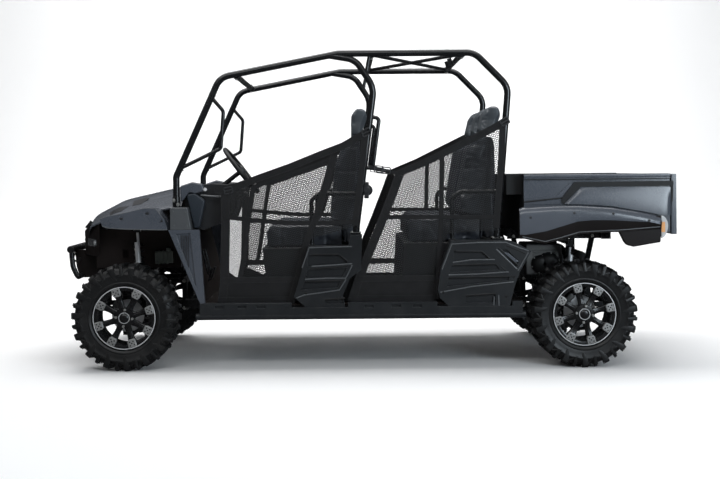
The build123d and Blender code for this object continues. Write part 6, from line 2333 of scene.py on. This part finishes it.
def make_flares():
    """Rear flares with painted shade on their foot bands and undersides, lips in lighter paint as painted
    highlight lines, and the tail boxes under their ends.
    """
    y = float(low("bed_fenders")[1])

    # faces below the belly line, facing down, or low on the inside get brown_black: painted shade of the
    # undercut
    def painted_shade_under_belly(p, n):
        line = np.interp((p[:, 0] - REAR_X) / MM, *np.array(FLARE_BELLY).T)
        return (p[:, 2] < line) | (n[:, 2] < -0.5) | (np.abs(p[:, 1]) < abs(y) - 0.012) & (p[:, 2] < 0.93)

    # a thin lip in lighter bracket paint: painted highlight along the flare's lower edge
    lip = carried(
        [
            (rear(a), y + 0.0105, b)
            for a, b in (
                (-380, 0.812), (-240, 0.781), (-148, 0.803), (-27, 0.838), (220, 0.848), (470, 0.866),
            )
        ], rounded_box(0.006, 0.005, 0.002, 3),
    )
    box_side = slab(
        [
            (rear(a), b)
            for a, b in ((215, 0.846), (247, 0.778), (265, 0.754), (309, 0.742), (478, 0.770), (478, 0.856))
        ], y + 0.022, -0.7285,
    )
    screws = []
    for x, z in ((-330, 0.930), (-60, 0.955), (180, 0.950), (400, 0.905)):
        screws.append(
            moved(
                disc_lathe([(0, -0.003), (0.006, -0.0028), (0.0085, 0), (0.0085, 0.001), (0, 0.001)], 24),
                (rear(x), y + 0.0005, z),
            )
        )
    return [
        piece(
            "flare_mouldings", pair(flare_shell()), "body_plastic", "cargo_bed", replaces="bed_fenders",
            angle=50, zones=(("brown_black", painted_shade_under_belly),),
        ),
        piece("flare_lip_highlights", pair(lip), "bracket_paint", "cargo_bed", slot="body_grey"),
        piece("tail_boxes", pair(box_side), "brown_black", "cargo_bed", bevel=0.008, segments=4),
        piece("flare_screws", pair(merged(screws)), "trim_black", "cargo_bed"),
    ]


def make_tail():
    """Tailgate with its press line and handle, and the tail lamps."""
    made = make_panels(("tailgate_moulding",))
    lo, hi = low("tailgate"), high("tailgate")
    x = float(hi[0])
    ring = rounded_box(1.16, 0.22, 0.03, 6)
    mid_z = (lo[2] + hi[2]) / 2
    panel = carried(
        np.column_stack([np.full(len(ring), x), ring[:, 0], mid_z + ring[:, 1]]),
        rounded_box(0.012, 0.016, 0.004, 4), closed=True, up=(1, 0, 0),
    )
    handle = carried(
        [(x + 0.002, -0.10, mid_z + 0.150), (x + 0.002, 0.10, mid_z + 0.150)],
        rounded_box(0.040, 0.014, 0.005, 5), up=(1, 0, 0),
    )
    return made + [
        piece("tailgate_press_line", panel, "body_plastic", "tailgate"),
        piece("tailgate_handle", handle, "trim_black", "tailgate"),
        *make_lamps(),
    ]


LAMP_OUTLINE = (
    (479, 0.936), (492, 0.934), (507, 0.920), (518, 0.899), (522, 0.877), (520, 0.853), (513, 0.830),
    (499, 0.807), (485, 0.797), (479, 0.794),
)


def make_lamps():
    """Tail lamps: a dark housing behind a clear lens with a round back edge, and an amber block in it."""
    y = float(low("tail_lamps")[1])
    outline = [(rear(a), b) for a, b in LAMP_OUTLINE]
    housing = slab(
        [(rear(479 + (a - 479) * 0.84), 0.866 + (b - 0.866) * 0.9) for a, b in LAMP_OUTLINE], y + 0.012,
        -0.7285,
    )
    lens = slab(outline, y, y + 0.016)
    amber = block((rear(479.5), rear(503)), (y - 0.0012, y + 0.012), (0.832, 0.897))
    return [
        piece(
            "tail_lamp_housings", pair(housing), "trim_black", "cargo_bed", replaces="tail_lamps",
            bevel=0.002,
        ),
        piece("tail_lens_clear", pair(lens), "lamp_clear", "cargo_bed", bevel=0.005, segments=4),
        piece("tail_lens_amber", pair(amber), "lamp_amber", "cargo_bed", bevel=0.003, segments=3),
    ]


# ---------------- stage ----------------

def make_stage():
    """A pale floor that curves up behind, four soft lights, a surround that pales upwards and the camera."""
    looks = bpy.context.scene.vehicle_looks
    u = np.linspace(-14, 14, 29)
    v = np.concatenate(
        [np.linspace(-12, 5, 18), 5 + 4 * np.sin(np.linspace(0.1, pi / 2, 10)), np.full(6, 9.0)]
    )
    w = np.concatenate([np.zeros(18), 4 - 4 * np.cos(np.linspace(0.1, pi / 2, 10)), np.linspace(5, 12, 6)])
    grid = np.stack(
        [
            np.broadcast_to(u[:, None], (29, len(v))), np.broadcast_to(v[None], (29, len(v))),
            np.broadcast_to(w[None], (29, len(v))),
        ], axis=-1,
    )
    verts, faces = surface(grid, flip=True)
    mesh = bpy.data.meshes.new("studio_floor")
    mesh.from_pydata(verts.tolist(), [], faces)
    mesh.shade_smooth()
    floor = into_scene("studio_floor", mesh)
    material, tree, shader = new_material("studio_floor")
    tone = use(
        tree, "tone", First=rgb(*looks.floor_colour), Second=rgb(*[c * 0.985 for c in looks.floor_colour]),
        Blotch=0.4,
    )
    tree.links.new(tone["Color"], shader.inputs["Base Color"])
    shader.inputs["Roughness"].default_value = 0.65
    # seen from behind or below the floor lets the view through
    front_side = maths(tree, "SUBTRACT", 1.0, node(tree, "NewGeometry").outputs["Backfacing"])
    tree.links.new(front_side, shader.inputs["Alpha"])
    mesh.materials.append(material)
    floor.visible_glossy = False

    for name, place, target, size, power, tint in (
        ("key_light", (-1.0, -6.0, 5.2), (0, 0, 0.8), (8.0, 1.6), 0.35, (0.96, 0.99, 1.0)),
        ("top_light", (0, 0.3, 5.0), (0, 0, 0.5), (7.0, 2.4), 0.66, (1.0, 1.0, 1.0)),
        ("back_light", (0, 3.2, 5.5), (0, 8.5, 1.0), (9.0, 2.0), 1.15, (1.0, 1.0, 1.0)),
        ("side_light", (4.6, -6.2, 2.2), (1.4, -0.7, 1.0), (2.6, 2.6), 0.48, (0.80, 0.91, 1.0)),
    ):
        light = bpy.data.lights.new(name, "AREA")
        light.shape = "RECTANGLE"
        light.size, light.size_y = size
        light.energy, light.color = looks.light_power * power, tint
        obj = into_scene(name, light)
        obj.location = place
        obj.visible_camera = False
        obj.rotation_mode = "QUATERNION"
        obj.rotation_quaternion = (Vector(target) - Vector(place)).to_track_quat("-Z", "Y")

    world = bpy.data.worlds.new("surround")
    world.use_nodes = True
    tree = world.node_tree
    background = tree.nodes["Background"]
    way = node(tree, "SeparateXYZ", {0: node(tree, "TexCoord").outputs["Generated"]})
    glow = ramp(tree, way.outputs[2], 0.05, 0.95)
    tree.links.new(
        mix_colour(tree, glow, rgb(0.10, 0.103, 0.108), rgb(0.97, 0.98, 1.0)), background.inputs["Color"],
    )
    background.inputs["Strength"].default_value = looks.surround
    bpy.context.scene.world = world
    bpy.context.scene.view_settings.view_transform = "Standard"

    camera = bpy.data.cameras.new("camera")
    camera.lens, camera.sensor_width = 55.85, 36.0
    camera.shift_x, camera.shift_y = 0.0153, -0.0965
    camera.clip_start, camera.clip_end = 0.1, 100
    obj = into_scene("camera", camera)
    obj.location = (-0.086, -7.670, 1.233)
    obj.rotation_euler = (pi / 2, 0.0087, 0)
    bpy.context.scene.camera = obj


# ---------------- the add-on ----------------

def colour(name, description, default):
    return bpy.props.FloatVectorProperty(
        name=name, description=description, default=default, subtype="COLOR", size=3, min=0.0, max=1.0
    )


class VehicleLooks(bpy.types.PropertyGroup):
    """Sizes and colours that a user would change."""

    body_colour: colour("Body", "Colour of the hood, fenders, nose and bed panels", (0.052, 0.060, 0.074))
    frame_colour: colour("Frame", "Powder coat of the cage, chassis and bumper", (0.0060, 0.0063, 0.0070))
    trim_colour: colour(
        "Trim", "Moulded black plastic of the boxes, sills and dashboard", (0.0150, 0.0158, 0.0175),
    )
    seat_colour: colour("Seats", "Vinyl of the seat cushions and backs", (0.026, 0.030, 0.038))
    headrest_colour: colour("Headrests", "Vinyl of the headrests", (0.056, 0.066, 0.076))
    net_colour: colour("Net mesh", "Thread of the knitted side nets", (0.0090, 0.0090, 0.0095))
    amber_colour: colour("Amber lens", "Turn lens of the tail lamps", (0.80, 0.40, 0.17))
    floor_colour: colour("Floor", "Studio floor", (0.93, 0.93, 0.93))
    net_pitch: bpy.props.FloatProperty(
        name="Net pitch", description="Distance between the holes of the knitted nets", default=0.0125,
        min=0.003, max=0.04, unit="LENGTH",
    )
    net_hole: bpy.props.FloatProperty(
        name="Net hole", description="Radius of a net's hole as a share of the pitch", default=0.39, min=0.05,
        max=0.5, subtype="FACTOR",
    )
    coil_turns: bpy.props.FloatProperty(
        name="Spring turns", description="Turns of each shock absorber's spring", default=8.5, min=4, max=14
    )
    cushion_pressure: bpy.props.FloatProperty(
        name="Seat pressure", description="Air pressure that blows the seat pads up", default=4.0, min=0,
        max=12,
    )
    light_power: bpy.props.FloatProperty(
        name="Light", description="Power of the largest studio light", default=420.0, min=0, max=3000,
        unit="POWER",
    )
    surround: bpy.props.FloatProperty(
        name="Surround", description="Brightness of the surround", default=0.40, min=0, max=3
    )


class Maker:
    """What every operator here shares: it runs its maker function and ends."""

    bl_options = {"REGISTER", "UNDO"}

    def execute(self, context):
        self.make()
        return {"FINISHED"}


class VEHICLE_OT_finishes(Maker, bpy.types.Operator):
    """Mixes every finish of the vehicle"""

    bl_idname = "vehicle.finishes"
    bl_label = "Finishes"
    make = staticmethod(make_finishes)


class VEHICLE_OT_tyres(Maker, bpy.types.Operator):
    """Builds the four lugged tyres"""

    bl_idname = "vehicle.tyres"
    bl_label = "Tyres"

    def make(self):
        for axle, side in CORNERS:
            make_tyre(axle, side)


class VEHICLE_OT_rims(Maker, bpy.types.Operator):
    """Builds the four eight-spoke rims with their bright rings and nuts"""

    bl_idname = "vehicle.rims"
    bl_label = "Rims"

    def make(self):
        for axle, side in CORNERS:
            make_rim(axle, side)


class VEHICLE_OT_arms(Maker, bpy.types.Operator):
    """Builds the wishbones, knuckles, rubbers and bolts"""

    bl_idname = "vehicle.arms"
    bl_label = "Wishbones and knuckles"
    make = staticmethod(make_arms)


class VEHICLE_OT_shocks(Maker, bpy.types.Operator):
    """Builds the coil-over shock absorbers"""

    bl_idname = "vehicle.shocks"
    bl_label = "Shock absorbers"
    make = staticmethod(make_shocks)


class VEHICLE_OT_brakes(Maker, bpy.types.Operator):
    """Builds the discs and their clasps"""

    bl_idname = "vehicle.brakes"
    bl_label = "Brakes"
    make = staticmethod(make_brakes)


class VEHICLE_OT_steering(Maker, bpy.types.Operator):
    """Builds the tie rods, the rack and the steering column"""

    bl_idname = "vehicle.steering"
    bl_label = "Steering gear"
    make = staticmethod(make_steering)


class VEHICLE_OT_drive(Maker, bpy.types.Operator):
    """Builds the engine, exhaust, final drives and half shaft boots"""

    bl_idname = "vehicle.drive"
    bl_label = "Drive line"
    make = staticmethod(make_drive)


class VEHICLE_OT_frame(Maker, bpy.types.Operator):
    """Builds the rails, crossmembers and box frames"""

    bl_idname = "vehicle.frame"
    bl_label = "Chassis frame"
    make = staticmethod(make_frame)


class VEHICLE_OT_cage(Maker, bpy.types.Operator):
    """Builds the side hoops, roof bars, welds and clamps"""

    bl_idname = "vehicle.cage"
    bl_label = "Cage"
    make = staticmethod(make_cage)


class VEHICLE_OT_restraints(Maker, bpy.types.Operator):
    """Builds the hip bars and belt drums"""

    bl_idname = "vehicle.restraints"
    bl_label = "Hip bars"
    make = staticmethod(make_restraints)


class VEHICLE_OT_hood(Maker, bpy.types.Operator):
    """Builds the hood with its vents and latch"""

    bl_idname = "vehicle.hood"
    bl_label = "Hood"
    make = staticmethod(make_hood)


class VEHICLE_OT_nose(Maker, bpy.types.Operator):
    """Builds the nose, grille, headlamps and bumper"""

    bl_idname = "vehicle.nose"
    bl_label = "Nose"
    make = staticmethod(make_nose)


class VEHICLE_OT_fenders(Maker, bpy.types.Operator):
    """Builds the front fenders, cowls and cage feet"""

    bl_idname = "vehicle.fenders"
    bl_label = "Front fenders"
    make = staticmethod(make_fenders)


class VEHICLE_OT_side_boxes(Maker, bpy.types.Operator):
    """Builds the side boxes, sills, floor and seat bases"""

    bl_idname = "vehicle.side_boxes"
    bl_label = "Side boxes"
    make = staticmethod(make_side_boxes)


class VEHICLE_OT_seats(Maker, bpy.types.Operator):
    """Builds the padded seat cushions and backs"""

    bl_idname = "vehicle.seats"
    bl_label = "Seats"
    make = staticmethod(make_seats)


class VEHICLE_OT_headrests(Maker, bpy.types.Operator):
    """Builds the headrests"""

    bl_idname = "vehicle.headrests"
    bl_label = "Headrests"
    make = staticmethod(make_headrests)


class VEHICLE_OT_nets(Maker, bpy.types.Operator):
    """Builds the nets, straps, stitching and buckles"""

    bl_idname = "vehicle.nets"
    bl_label = "Side nets"
    make = staticmethod(make_nets)


class VEHICLE_OT_steering_wheel(Maker, bpy.types.Operator):
    """Builds the steering wheel"""

    bl_idname = "vehicle.steering_wheel"
    bl_label = "Steering wheel"
    make = staticmethod(make_wheel)


class VEHICLE_OT_dash(Maker, bpy.types.Operator):
    """Builds the dashboard and its controls"""

    bl_idname = "vehicle.dash"
    bl_label = "Dashboard"
    make = staticmethod(make_dash)


class VEHICLE_OT_bed(Maker, bpy.types.Operator):
    """Builds the cargo bed's box"""

    bl_idname = "vehicle.bed"
    bl_label = "Cargo bed"
    make = staticmethod(make_bed)


class VEHICLE_OT_flares(Maker, bpy.types.Operator):
    """Builds the flares over the rear wheels"""

    bl_idname = "vehicle.flares"
    bl_label = "Rear flares"
    make = staticmethod(make_flares)


class VEHICLE_OT_tail(Maker, bpy.types.Operator):
    """Builds the tailgate and the tail lamps"""

    bl_idname = "vehicle.tail"
    bl_label = "Tail"
    make = staticmethod(make_tail)


class VEHICLE_OT_stage(Maker, bpy.types.Operator):
    """Sets up the floor, the lights and the camera"""

    bl_idname = "vehicle.stage"
    bl_label = "Stage"
    make = staticmethod(make_stage)


OPERATORS = (
    VEHICLE_OT_finishes,
    VEHICLE_OT_tyres,
    VEHICLE_OT_rims,
    VEHICLE_OT_arms,
    VEHICLE_OT_shocks,
    VEHICLE_OT_brakes,
    VEHICLE_OT_steering,
    VEHICLE_OT_drive,
    VEHICLE_OT_frame,
    VEHICLE_OT_cage,
    VEHICLE_OT_restraints,
    VEHICLE_OT_hood,
    VEHICLE_OT_nose,
    VEHICLE_OT_fenders,
    VEHICLE_OT_side_boxes,
    VEHICLE_OT_seats,
    VEHICLE_OT_headrests,
    VEHICLE_OT_nets,
    VEHICLE_OT_steering_wheel,
    VEHICLE_OT_dash,
    VEHICLE_OT_bed,
    VEHICLE_OT_flares,
    VEHICLE_OT_tail,
    VEHICLE_OT_stage,
)


class VEHICLE_PT_panel(bpy.types.Panel):
    """Lists the sizes, the colours and the makers."""

    bl_idname = "VEHICLE_PT_panel"
    bl_label = "Side-by-side utility vehicle"
    bl_space_type = "VIEW_3D"
    bl_region_type = "UI"
    bl_category = "Vehicle"

    def draw(self, context):
        looks = context.scene.vehicle_looks
        for name in VehicleLooks.__annotations__:
            self.layout.prop(looks, name)
        for maker in OPERATORS:
            self.layout.operator(maker.bl_idname)


CLASSES = (VehicleLooks, *OPERATORS, VEHICLE_PT_panel)


def register():
    for cls in CLASSES:
        bpy.utils.register_class(cls)
    bpy.types.Scene.vehicle_looks = bpy.props.PointerProperty(type=VehicleLooks)


def unregister():
    del bpy.types.Scene.vehicle_looks
    for cls in reversed(CLASSES):
        bpy.utils.unregister_class(cls)


def main():
    """Makes the vehicle piece by piece."""
    register()
    for maker in OPERATORS:
        step = maker.bl_idname.split(".")[1]
        getattr(bpy.ops.vehicle, step)()
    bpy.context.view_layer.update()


if __name__ == "__main__":
    main()
